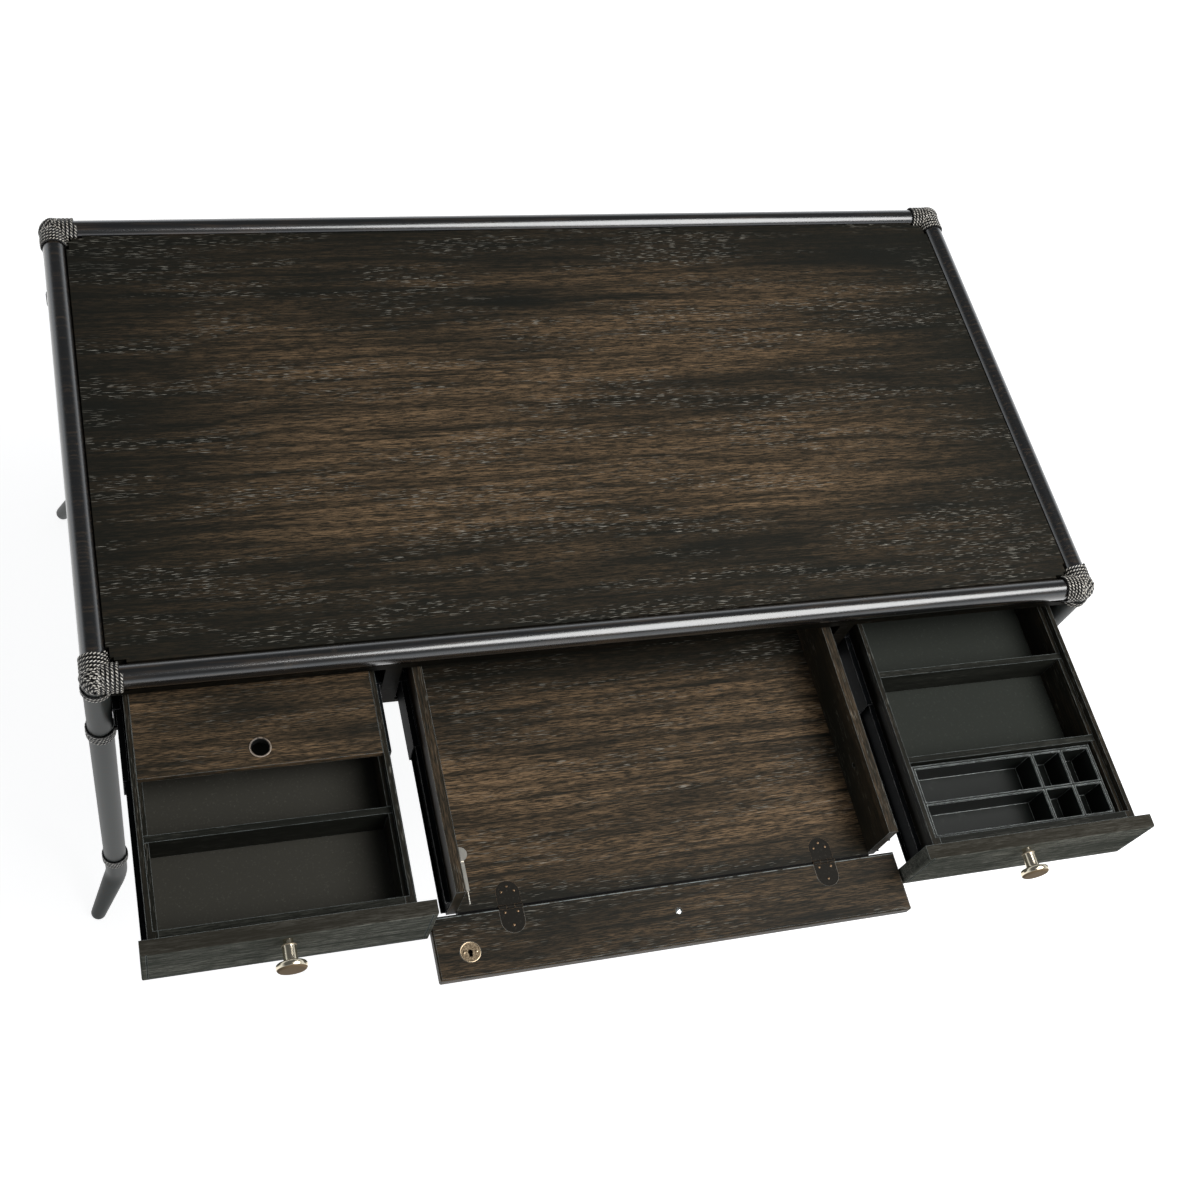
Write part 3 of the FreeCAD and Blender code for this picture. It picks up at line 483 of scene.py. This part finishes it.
def sweep(points, radii, sides):
    """Round tube along points, with a frame that turns as little as it can."""
    vertices = []
    aside = (points[1] - points[0]).normalized().orthogonal().normalized()
    for index, point in enumerate(points):
        ahead = heading(points, index)
        aside = (aside - ahead * aside.dot(ahead)).normalized()
        across = ahead.cross(aside)
        radius = radii[index] if isinstance(radii, list) else radii
        for side in range(sides):
            angle = math.tau * side / sides
            vertices.append(point + (aside * math.cos(angle) + across * math.sin(angle)) * radius)
    return vertices, tube_faces(len(points), sides)


def set_up(place, along):
    """Matrix that takes the origin to a place and Z to a direction."""
    return Matrix.Translation(place) @ along.to_track_quat("Z", "Y").to_matrix().to_4x4()


def lathe(outline, place, along, sides=TURNED_SIDES, caps=True):
    """Shape turned about an axis from (radius, height) points; a closed outline goes without caps."""
    move = set_up(place, along)
    vertices = []
    for radius, height in outline:
        for side in range(sides):
            angle = math.tau * side / sides
            vertices.append(move @ Vector((radius * math.cos(angle), radius * math.sin(angle), height)))
    return vertices, tube_faces(len(outline), sides, caps)


def per_vertex(values):
    """Values of a turned shape's rows, repeated for the vertices of each row."""
    return [value for value in values for side in range(TURNED_SIDES)]


def smooth_outline(points, steps=3):
    """Rounder outline through (radius, height) points."""
    dense = []
    padded = [points[0], *points, points[-1]]
    for index in range(1, len(padded) - 2):
        p0, p1, p2, p3 = (Vector(padded[index + k]) for k in (-1, 0, 1, 2))
        for step in range(steps):
            t = step / steps
            dense.append(0.5 * ((2 * p1) + (p2 - p0) * t + (2 * p0 - 5 * p1 + 4 * p2 - p3) * t * t
                                + (3 * p1 - p0 - 3 * p2 + p3) * t * t * t))
    dense.append(Vector(points[-1]))
    return [(max(p.x, CLOSED), p.y) for p in dense]


def wavering(points, radius, depth, pace):
    """Radii along a cane that narrows and widens a little."""
    return [radius * (1 - depth + depth * noise.noise(point * pace)) for point in points]


def soften(node, width):
    """Rounded edges on a board or fitting of the frame."""
    piece = NODES[node]
    edge = piece.modifiers.new("soft_edge", "BEVEL")
    edge.width = width
    edge.segments = 2
    edge.limit_method = "ANGLE"
    edge.angle_limit = math.radians(35)
    piece.data.shade_flat()


def finish_node(node, material):
    """Gives a node of the frame its material."""
    materials = NODES[node].data.materials
    materials.clear()
    materials.append(material)


# Cord work

def twisted_cord(path, sizes):
    """Shape and crests of two plies that twist round each other along (point, normal) pairs."""
    spread = sizes.cord / 2 - sizes.ply
    points = [point for point, normal in path]
    plies = [[], []]
    normals = []
    length = 0.0
    for index, (point, normal) in enumerate(path):
        ahead = heading(points, index)
        up = (normal - ahead * normal.dot(ahead)).normalized()
        across = ahead.cross(up)
        angle = math.tau * length / sizes.cord_lay
        out = across * (math.cos(angle) * spread) + up * (math.sin(angle) * sizes.cord_rise)
        plies[0].append(point + out)
        plies[1].append(point - out)
        normals.append(up)
        if index + 1 < len(path):
            length += (points[index + 1] - point).length
    shape = join_shapes([sweep(ply, sizes.ply, PLY_SIDES) for ply in plies])
    top = sizes.ply + sizes.cord_rise
    crests = []
    for index, vertex in enumerate(shape[0]):
        row = (index // PLY_SIDES) % len(path)
        crests.append((vertex - points[row]).dot(normals[row]) / top)
    return shape, crests


def join_cords(paths, sizes):
    """Shape and crests of several cords."""
    cords = [twisted_cord(path, sizes) for path in paths]
    crests = [crest for shape, marks in cords for crest in marks]
    return join_shapes([shape for shape, marks in cords]), crests


def cord_step(sizes):
    """Distance between the points of a cord."""
    return sizes.cord_lay / 8


def helix(start, along, radius_at, reach, sizes, turn_from=0.0):
    """Points and normals of a winding; radius_at gives its radius and its place along the axis."""
    aside = along.orthogonal().normalized()
    across = along.cross(aside)
    step = cord_step(sizes)
    path = []
    wound = 0.0
    angle = turn_from
    while wound <= reach:
        radius, shift = radius_at(wound)
        out = aside * math.cos(angle) + across * math.sin(angle)
        point = start + along * shift + out * radius
        path.append((point, out if shift > 0 else (point - start).normalized()))
        turn = step / max(radius, step)
        angle += turn
        wound += sizes.cord * turn / math.tau
    return path


def corner_cords(side, end, sizes):
    """All wraps of one corner: over the side pole and its end, the long pole, the leg and across."""
    centre = corner_centre(side, end)
    pole, leg = pole_radius(), leg_radius()
    rise = sizes.ply
    wrap = pole + rise
    cap = wrap + sizes.cord_rise
    cap_reach = cap * math.radians(78)
    leg_top = centre - UP * (pole * 0.9)
    leg_reach = sizes.cord * 2.2
    outward = Vector((side, end, 0)).normalized()
    ball = cap + rise * 0.6
    step = cord_step(sizes)

    def over_end(wound):
        left = sizes.wrap_reach - wound
        if left > 0:
            return wrap, left
        lean = -left / cap
        return cap * math.cos(lean), -cap * math.sin(lean)

    def along_pole(wound):
        return wrap + rise * 0.4, sizes.wrap_reach - wound

    def down_leg(wound):
        return leg + rise, wound

    paths = [helix(centre, Vector((0, -end, 0)), over_end, sizes.wrap_reach + cap_reach, sizes),
             helix(centre, Vector((-side, 0, 0)), along_pole, sizes.wrap_reach, sizes, turn_from=1.0),
             helix(leg_top, -UP, down_leg, leg_reach, sizes, turn_from=2.0)]
    for row in range(3):
        offset = row * sizes.cord
        radius = math.sqrt(max(ball * ball - offset * offset, step * step))
        paths.append(ring_path(centre + outward * offset, outward, radius, step, centre))
    return paths


def ring_path(centre, normal, radius, step, about):
    """Closed ring of points, with normals that point away from a place."""
    aside = normal.cross(UP).normalized()
    count = max(int(math.tau * radius / step), 12)
    angles = [math.tau * k / count for k in range(count + 1)]
    points = [centre + (aside * math.cos(angle) + UP * math.sin(angle)) * radius for angle in angles]
    return [(point, (point - about).normalized()) for point in points]


def pole_radius():
    low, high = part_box("front_pole")
    return (high.z - low.z) / 2


def leg_radius():
    """Leg radius, from the straight side of a leg's box."""
    return abs(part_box("front_left_leg")[1].x - corner_centre(-1, -1).x)


def corner_centre(side, end):
    x = middle("right_pole" if side > 0 else "left_pole").x
    across = middle("back_pole" if end > 0 else "front_pole")
    return Vector((x, across.y, across.z))


def corner_name(side, end):
    return ("front" if end < 0 else "back") + ("_left" if side < 0 else "_right")


class DESK_OT_bindings(Operator):
    """Wraps the corners and the legs in twisted cord"""
    bl_idname = "desk.bindings"
    bl_label = "Cord bindings"

    def execute(self, context):
        sizes = context.scene.desk_sizes
        material = cord_material(context.scene.desk_colours)
        low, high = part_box("leg_bindings")
        ball = pole_radius() * 1.04
        rows = 16
        angles = [math.pi * k / rows for k in range(rows + 1)]
        outline = [(ball * math.sin(angle) + CLOSED, -ball * math.cos(angle)) for angle in angles]
        for side, end in CORNERS:
            name = corner_name(side, end)
            centre = corner_centre(side, end)
            core = lathe(outline, centre, UP, 32)
            cords, crests = join_cords(corner_cords(side, end, sizes), sizes)
            crests += [0.0] * len(core[0])
            shape = join_shapes([cords, core])
            add_piece(name + "_corner_cord", shape, material, "desk_frame",
                      ["corner_bindings"], crests)
            rings = [self.ring(centre, height, sizes) for height in (low.z, high.z - sizes.ring_height)]
            shape, crests = join_cords(rings, sizes)
            add_piece(name + "_leg_cord", shape, material, "desk_frame",
                      ["leg_bindings"], crests)
        return {"FINISHED"}

    @staticmethod
    def ring(centre, height, sizes):
        start = Vector((centre.x, centre.y, height + sizes.cord / 2))
        radius = leg_radius() + sizes.ply
        return helix(start, UP, lambda wound: (radius, wound + MM), sizes.ring_height - sizes.cord, sizes)


class DESK_OT_poles(Operator):
    """Makes the four rim poles, with the slight waver of a cane"""
    bl_idname = "desk.poles"
    bl_label = "Rim poles"

    def execute(self, context):
        sizes = context.scene.desk_sizes
        colours = context.scene.desk_colours
        material = lacquer_material("pole_lacquer", colours.lacquer, colours.rubbed, roughness=0.26,
                                    amount=0.35, specular=0.4, coat=1.0)
        radius = pole_radius()
        point_gap = 0.015
        poles = (("front_pole", (-1, -1), (1, -1), 0.2), ("back_pole", (-1, 1), (1, 1), 0.2),
                 ("left_pole", (-1, -1), (-1, 1), 0.0), ("right_pole", (1, -1), (1, 1), 0.0))
        for name, first, last, overrun in poles:
            stub = Vector((radius * overrun, 0, 0))
            start, finish = corner_centre(*first) - stub, corner_centre(*last) + stub
            count = max(int((finish - start).length / point_gap), 2)
            points = [start.lerp(finish, k / count) for k in range(count + 1)]
            shape = sweep(points, wavering(points, radius, 0.008, 9), sizes.round_steps)
            add_piece(name + "_lacquered", shape, material, "desk_frame", [name])
        return {"FINISHED"}


class DESK_OT_legs(Operator):
    """Makes the four legs with their bent, tapered feet"""
    bl_idname = "desk.legs"
    bl_label = "Legs"

    def execute(self, context):
        sizes = context.scene.desk_sizes
        colours = context.scene.desk_colours
        material = lacquer_material("leg_lacquer", colours.leg, scaled(colours.rubbed, 0.8), roughness=0.42,
                                    amount=0.2, specular=0.3)
        for side, end in CORNERS:
            name = corner_name(side, end) + "_leg"
            points, radii = self.route(side, end, name, sizes)
            vertices, faces = sweep(points, radii, sizes.round_steps)
            vertices = [Vector((v.x, v.y, max(v.z, 0.0))) for v in vertices]
            add_piece(name + "_lacquered", (vertices, faces), material, "desk_frame", [name])
        return {"FINISHED"}

    @staticmethod
    def route(side, end, name, sizes):
        """Centre line and radii of a leg, from its top to its toe."""
        low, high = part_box(name)
        centre = corner_centre(side, end)
        far = Vector((high.x if side > 0 else low.x, high.y if end > 0 else low.y, 0))
        radius = leg_radius()
        bend = sizes.knee_bend
        shank_steps, bend_steps, foot_steps, tip_steps = 40, 12, 12, 8
        tip_radius = 0.00005
        out = Vector((far.x - centre.x - side * sizes.toe, far.y - centre.y - end * sizes.toe, 0))
        toe_z = sizes.toe * 0.947  # a little low, so that the sole is cut flat by the floor
        turn = math.atan2(out.length, sizes.knee_height - toe_z)
        way = out.normalized()
        knee_top = Vector((centre.x, centre.y, sizes.knee_height + bend * math.tan(turn / 2)))
        top = Vector((centre.x, centre.y, centre.z - radius * 0.3))
        points = [top.lerp(knee_top, k / shank_steps) for k in range(shank_steps)]
        pivot = knee_top + way * bend
        for k in range(bend_steps + 1):
            angle = turn * k / bend_steps
            points.append(pivot - way * (bend * math.cos(angle)) - UP * (bend * math.sin(angle)))
        toe = Vector((centre.x, centre.y, toe_z)) + out
        bend_end = points[-1]
        radii = wavering(points, radius, 0.006, 8)
        for k in range(1, foot_steps + 1):
            points.append(bend_end.lerp(toe, k / foot_steps))
            radii.append(radius + (sizes.toe - radius) * k / foot_steps)
        along = (toe - bend_end).normalized()
        for k in range(1, tip_steps + 1):
            angle = math.pi / 2 * k / tip_steps
            points.append(toe + along * (sizes.toe * math.sin(angle)))
            radii.append(max(sizes.toe * math.cos(angle), tip_radius))
        return points, radii


def both(*endings):
    """Names of the left and the right node for each ending."""
    return [side + ending for ending in endings for side in ("left", "right")]


class DESK_OT_boards(Operator):
    """Gives every board its wood, with the grain along its length, and soft edges"""
    bl_idname = "desk.boards"
    bl_label = "Boards"

    def execute(self, context):
        sizes = context.scene.desk_sizes
        colours = context.scene.desk_colours
        # edge: width of the painted highlight along the wood's edges.
        edge = sizes.edge_line_width
        low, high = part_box("tray_floor")
        # Painted shade on the tray floor: its warmth is full in the middle of the part in view and falls off
        # toward its front edge and toward the desktop that overhangs it.
        floor_shade_panel = ((2 * low.x, low.y), (2 * high.x, middle("front_pole").y))
        # seam: painted shade in the gap between tray floor and flap, with a painted highlight before it.
        seam = ((low.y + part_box("flap")[1].y) / 2, sizes.seam_shade_line)
        at_seam = ("tray_floor", "flap")

        def dress(nodes, material):
            for node in nodes:
                finish_node(node, material)
                soften(node, sizes.seam_edge if node in at_seam else sizes.board_edge)

        def wood(nodes, name, **looks):
            dress(nodes, wood_material(name, colours, **looks))

        wood(["desktop"], "desktop_wood", warmth=0.88, pores=0.8, panel=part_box("desktop"))
        # Drawer fronts: a painted highlight along their edges and painted shade on their upper faces.
        wood(both("_drawer_front"), "front_wood", warmth=1.0, pores=0.4, shift=(0.3, 0.1, 0.2), specular=0.0,
             edge=edge, tones=(colours.front, colours.front_light), crown=colours.crown)
        wood(["flap"], "flap_wood", warmth=0.62, pores=0.5, shift=(0.9, 0.37, 0.2), edge=edge, seam=seam)
        wood(["tray_floor"], "tray_floor_wood", warmth=1.3, pores=0.5, shift=(1.7, 0.6, 0.0), panel=floor_shade_panel,
             seam=seam)
        wood(["tray_left_wall", "tray_right_wall"], "tray_wall_wood", warmth=0.6, pores=0.4, turn=Y_GRAIN,
             shift=(0.7, 0.3, 0.4), specular=0.08, edge=edge)
        wood(["case_left_side", "case_right_side", *both("_drawer_outer_side", "_drawer_inner_side")],
             "side_wood", warmth=0.2, pores=0.35, turn=Y_GRAIN, shift=(0.2, 0.9, 0.4), specular=0.08,
             edge=edge)
        # Painted shade: the case back, rails and partitions get a near-black tone for the shadow they sit in
        # under the rim.
        wood(["case_back", "top_rail", "bottom_rail", *both("_partition")], "case_wood_painted_shade", warmth=0.06,
             pores=0.1, shift=(2.2, 0.4, 0.1), dark_share=0.3, specular=0.02)
        wood(["left_drawer_lid"], "lid_wood", warmth=1.6, pores=0.3, shift=(3.1, 0.2, 0.0), edge=edge)
        for name, colour in (("left", colours.left_floor), ("right", colours.right_floor)):
            dress([name + "_drawer_floor"], plain_material(name + "_floor_ply", colour, roughness=0.6,
                                                           size=340.0, lift=1.7, specular=0.10))
        wood(["bottom_panel", "tray_back", "left_drawer_divider", "right_drawer_dividers",
              *both("_drawer_box_front", "_drawer_back")], "drawer_lining", warmth=0.25, pores=0.1,
             shift=(6.1, 0.9, 0.0), dark_share=0.6, specular=0.08, edge=edge,
             tones=(colours.lining, colours.lining_light))
        # The pencil tray's light rim lines are a painted highlight.
        dress(["pencil_tray"], plain_material("pencil_tray_black", (0.014, 0.016, 0.014), roughness=0.30,
                                              size=60.0, lift=1.8, specular=0.22, edge=1.5 * edge,
                                              light=colours.rim))
        return {"FINISHED"}


def knob_outline(radius, length):
    """Turned knob from its neck to its head, with how aged each row is."""
    neck = [(0.02, 0.0), (0.32, 0.0), (0.32, 0.10), (0.335, 0.15), (0.45, 0.172), (0.48, 0.19)]
    stem = [(0.48, 0.205), (0.455, 0.225), (0.455, 0.45), (0.46, 0.62), (0.48, 0.70), (0.53, 0.728)]
    head = [(0.80, 0.736), (0.88, 0.745), (0.955, 0.775), (0.995, 0.82), (1.0, 0.86), (0.985, 0.91),
            (0.94, 0.955), (0.88, 0.985), (0.80, 0.997), (0.50, 0.999), (0.02, 1.0)]
    shares = neck + smooth_outline(stem) + smooth_outline(head)
    outline = [(width * radius, height * length) for width, height in shares]
    aged = [1.0 if height > 0.93 else 0.85 if 0.15 < height < 0.215 else 0.0 for width, height in shares]
    return outline, aged


class DESK_OT_knobs(Operator):
    """Turns the three brass knobs"""
    bl_idname = "desk.knobs"
    bl_label = "Knobs"

    def execute(self, context):
        colours = context.scene.desk_colours
        material = metal_material("knob_brass", colours.brass, colours.brass_dark, roughness=0.20, size=60.0,
                                  amount=0.2, specular=0.1, aged=True)
        forward = Vector((0, -1, 0))
        for node, body, along in (("left_drawer_knob", "left_drawer", forward),
                                  ("right_drawer_knob", "right_drawer", forward),
                                  ("flap_knob", "drop_front", -UP)):
            low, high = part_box(node)
            reach = abs(((high - low) / 2).dot(along))
            outline, aged = knob_outline((high.x - low.x) / 2, 2 * reach)
            shape = lathe(outline, middle(node) - along * reach, along)
            add_piece(node + "_turned", shape, material, body, [node], per_vertex(aged))
        return {"FINISHED"}


def screw_head(place, radius, turn=0.6):
    """Domed screw head in two halves, with the slot between them."""
    spin = set_up(place, UP) @ Matrix.Rotation(turn, 4, "Z")
    slot = radius * 0.14
    rows = ((1.0, 0.0), (0.97, 0.16), (0.82, 0.30), (0.5, 0.40), (0.04, 0.42))
    steps = 8
    halves = []
    for half in (-1, 1):
        vertices = []
        for share, height in rows:
            for k in range(steps + 1):
                angle = math.pi * k / steps
                x = radius * share * math.cos(angle)
                y = slot + (radius - slot) * share * math.sin(angle)
                vertices.append(spin @ Vector((half * x, half * y, radius * height)))
        halves.append((vertices, tube_faces(len(rows), steps + 1)))
    return join_shapes(halves)


TRAY_SCREWS = ((-0.27, 0.62), (0.0, 0.80), (0.27, 0.62))
FLAP_SCREWS = ((-0.27, 0.26), (0.27, 0.26), (0.0, 0.72))


class DESK_OT_metalwork(Operator):
    """Finishes the slides, hinges, catch, plate and grommet, and sets their screws"""
    bl_idname = "desk.metalwork"
    bl_label = "Metalwork"

    def execute(self, context):
        sizes = context.scene.desk_sizes
        colours = context.scene.desk_colours
        line = sizes.edge_line_width / 2
        antique, patina = colours.antique, colours.brass_dark
        # The light lines along the slides' edges are a painted highlight.
        steel = plain_material("slide_steel", colours.steel, roughness=0.48, size=120.0, lift=2.4,
                               specular=0.04, edge=line, light=colours.bright)
        hinge = plain_material("black_hinge", colours.hinge, roughness=0.45, size=300.0, lift=3.0,
                               specular=0.08, edge=line, light=colours.copper)
        brass = metal_material("aged_brass", scaled(antique, 0.8), patina, roughness=0.38, size=420.0,
                               amount=0.85)
        rim = metal_material("brass_rim", scaled(antique, 1.4), antique, roughness=0.28, size=300.0,
                             amount=0.4)
        screws = metal_material("hinge_screw", colours.copper, patina, roughness=0.42, size=500.0, amount=0.6)
        silver = metal_material("worn_nickel", (0.66, 0.63, 0.56), patina, roughness=0.30, size=160.0,
                                amount=0.4)
        bright = metal_material("bright_screw", (0.92, 0.95, 0.94), colours.bright, roughness=0.22,
                                size=300.0, amount=0.3)
        for name in ("left", "right", "tray"):
            for kind in ("case", "middle", "drawer"):
                finish_node(f"{name}_{kind}_slides", steel)
                soften(f"{name}_{kind}_slides", sizes.metal_edge)
        for material, nodes in ((hinge, ("tray_hinge_leaves", "flap_hinge_leaves", "hinge_pins")),
                                (brass, ("catch_plate",)), (silver, ("catch_base", "catch_lever"))):
            for node in nodes:
                finish_node(node, material)
        self.hinge_screws("tray_hinge_leaves", "centre_tray", 1, TRAY_SCREWS, sizes, screws)
        self.hinge_screws("flap_hinge_leaves", "drop_front", -1, FLAP_SCREWS, sizes, screws)
        self.plate_trim(sizes, rim)
        self.flap_screw(bright)
        self.grommet()
        return {"FINISHED"}

    @staticmethod
    def hinge_screws(node, body, away, places, sizes, material):
        """Three screws in each leaf, at shares of its width and of its length from the pin."""
        low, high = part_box(node)
        pin = low.y if away > 0 else high.y
        length = away * (high.y - low.y)
        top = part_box("tray_floor")[1].z
        heads = []
        for side in (-1, 1):
            centre = side * (high.x - sizes.hinge_width / 2)
            for across, along in places:
                place = Vector((centre + across * sizes.hinge_width, pin + along * length, top))
                heads.append(screw_head(place, sizes.screw * 0.78, place.x * 40))
        add_piece(node + "_screws", join_shapes(heads), material, body)

    @staticmethod
    def plate_trim(sizes, material):
        """Raised rim round the plate, and its two screws."""
        low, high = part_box("catch_plate")
        centre = floor_point("catch_plate")
        radius = (high.x - low.x) / 2
        thick = sizes.plate_rim
        steps = 10
        angles = [math.tau * k / steps for k in range(steps + 1)]
        outline = [(radius - thick * (0.55 + 0.5 * math.cos(angle)), high.z + thick * 0.34 * math.sin(angle))
                   for angle in angles]
        parts = [lathe(outline, centre, UP, caps=False)]
        for side in (-1, 1):
            place = Vector((centre.x + side * radius * 0.60, centre.y, high.z))
            parts.append(screw_head(place, sizes.screw * 0.95, side * 1.1))
        add_piece("catch_plate_trim", join_shapes(parts), material, "drop_front")

    @staticmethod
    def flap_screw(material):
        """Bright slotted screw that holds the knob of the drop front."""
        low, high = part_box("flap_knob_screw")
        centre = floor_point("flap_knob_screw")
        radius = (high.x - low.x) / 2
        seat = high.z - radius * 0.42
        shank = radius * 0.5
        outline = [(CLOSED, low.z), (shank, low.z), (shank, seat - radius * 0.2), (radius, seat),
                   (CLOSED, seat)]
        shape = join_shapes([lathe(outline, centre, UP, 24), screw_head(centre + UP * seat, radius)])
        add_piece("flap_knob_screw_slotted", shape, material, "drop_front", ["flap_knob_screw"])

    @staticmethod
    def grommet():
        """Ring in the cable hole: black, with its upper lip rubbed light."""
        black, rubbed = (0.010, 0.010, 0.010), (0.42, 0.34, 0.27)
        made, tree, shader, place = start_material("grommet_black", 0.4)
        broken = ramp(tree, noise_value(tree, place, 260.0), 0.25, 0.5)
        colour = mix_colour(tree, times(tree, crest_value(tree), broken), black, rubbed)
        finish_shader(tree, shader, colour, 0.35, noise_value(tree, place, 600.0, 2.0), 0.05)
        low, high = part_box("lid_grommet")
        flange = (high.x - low.x) / 2
        bore = flange * 0.80
        neck = flange * 0.91
        lip = (flange - bore) / 2
        rise = lip * 0.7
        seat = high.z - rise
        steps = 8
        angles = [math.pi * k / steps for k in range(1, steps)]
        outline = [(neck, seat), (flange, seat)]
        outline += [(flange - lip + lip * math.cos(angle), seat + rise * math.sin(angle)) for angle in angles]
        outline += [(bore, seat), (bore, low.z), (neck, low.z), (neck, seat)]
        aged = [0.0, 0.0, 0.5, 1.0, 1.0, 0.6, 0.3, 0.1, 0.0, 0.0, 0.0, 0.0, 0.0]
        shape = lathe(outline, floor_point("lid_grommet"), UP, caps=False)
        add_piece("lid_grommet_ring", shape, made, "left_lid", ["lid_grommet"],
                  per_vertex(aged))


# The camera: lens in millimetres, turn in degrees
LENS = 45.15
SENSOR = 36.0
SHIFT = (0.0522, 0.05643)
CAMERA_PLACE = (-0.65174, -1.00452, 2.35862)
CAMERA_TURN = (28.2023, -11.6146, -12.2847)

LAMP_PLACE = Vector((1.3, -1.0, 3.2))
LAMP_TARGET = Vector((0.1, -0.1, 0.7))
LAMP_SIZE = (2.4, 2.0)
LAMP_WATTS = 90

FLOOR_HALF = 12.0
FLOOR_GLOW = 0.845
FLOOR_LIGHT = (0.66, 0.66, 0.66)
SKY_LOW = (0.92, 0.96, 1.0)
SKY_HIGH = (0.09, 0.095, 0.10)


class DESK_OT_stage(Operator):
    """Sets the pale floor, the soft lights and the camera"""
    bl_idname = "desk.stage"
    bl_label = "Stage"

    def execute(self, context):
        scene = context.scene
        self.floor(scene)
        self.sky(scene)
        self.lamp(scene)
        data = bpy.data.cameras.new("photo_view")
        data.sensor_width = SENSOR
        data.lens = LENS
        data.shift_x, data.shift_y = SHIFT
        camera = bpy.data.objects.new("photo_view", data)
        camera.location = CAMERA_PLACE
        camera.rotation_euler = tuple(math.radians(a) for a in CAMERA_TURN)
        scene.collection.objects.link(camera)
        scene.camera = camera
        scene.view_settings.view_transform = "Standard"
        return {"FINISHED"}

    @staticmethod
    def floor(scene):
        """Wide floor, which glows where the camera or a reflection sees it."""
        corners = [(x * FLOOR_HALF, y * FLOOR_HALF, 0) for x, y in ((-1, -1), (1, -1), (1, 1), (-1, 1))]
        mesh = bpy.data.meshes.new("pale_floor")
        mesh.from_pydata(corners, [], [(0, 1, 2, 3)])
        material, tree, shader, place = start_material("pale_floor", 0.1)
        tone = mix_colour(tree, noise_value(tree, place, 3.0), scene.desk_colours.floor, FLOOR_LIGHT)
        feed(tree, shader["Base Color"], tone)
        shader["Roughness"].default_value = 0.8
        rays = add_node(tree, "ShaderNodeLightPath").outputs
        mirrored = math_node(tree, "MAXIMUM", rays["Is Glossy Ray"], rays["Is Transmission Ray"])
        seen = math_node(tree, "MAXIMUM", rays["Is Camera Ray"], mirrored)
        shader["Emission Color"].default_value = (1.0, 1.0, 1.0, 1.0)
        feed(tree, shader["Emission Strength"], times(tree, seen, FLOOR_GLOW))
        mesh.materials.append(material)
        floor = bpy.data.objects.new("pale_floor", mesh)
        scene.collection.objects.link(floor)

    @staticmethod
    def sky(scene):
        """White round the horizon and dimmer overhead."""
        world = bpy.data.worlds.new("studio")
        world.use_nodes = True
        tree = world.node_tree
        scene.world = world
        direction = add_node(tree, "ShaderNodeTexCoord").outputs["Generated"]
        share = ramp(tree, part_of(tree, direction, 2), 0.12, 0.60)
        back = tree.nodes["Background"].inputs
        feed(tree, back["Color"], mix_colour(tree, share, SKY_LOW, SKY_HIGH))
        back["Strength"].default_value = 1.0

    @staticmethod
    def lamp(scene):
        data = bpy.data.lights.new("key_light", "AREA")
        data.shape = "RECTANGLE"
        data.size, data.size_y = LAMP_SIZE
        data.energy = LAMP_WATTS
        lamp = bpy.data.objects.new("key_light", data)
        lamp.location = LAMP_PLACE
        lamp.rotation_euler = (LAMP_TARGET - LAMP_PLACE).to_track_quat("-Z", "Y").to_euler()
        scene.collection.objects.link(lamp)


STEPS = (DESK_OT_stage, DESK_OT_boards, DESK_OT_poles, DESK_OT_legs, DESK_OT_bindings, DESK_OT_knobs,
         DESK_OT_metalwork)


class DESK_PT_tools(Panel):
    """Lists the steps that dress the desk"""
    bl_idname = "DESK_PT_tools"
    bl_label = "Writing desk"
    bl_space_type = "VIEW_3D"
    bl_region_type = "UI"
    bl_category = "Desk"

    def draw(self, context):
        for step in STEPS:
            self.layout.operator(step.bl_idname)


CLASSES = (DeskSizes, DeskColours, *STEPS, DESK_PT_tools)


def register():
    for cls in CLASSES:
        bpy.utils.register_class(cls)
    bpy.types.Scene.desk_sizes = PointerProperty(type=DeskSizes)
    bpy.types.Scene.desk_colours = PointerProperty(type=DeskColours)


def unregister():
    del bpy.types.Scene.desk_colours
    del bpy.types.Scene.desk_sizes
    for cls in reversed(CLASSES):
        bpy.utils.unregister_class(cls)


def main():
    """Dresses the desk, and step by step."""
    register()
    for step in STEPS:
        getattr(bpy.ops.desk, step.bl_idname.split(".")[1])()


if __name__ == "__main__":
    main()
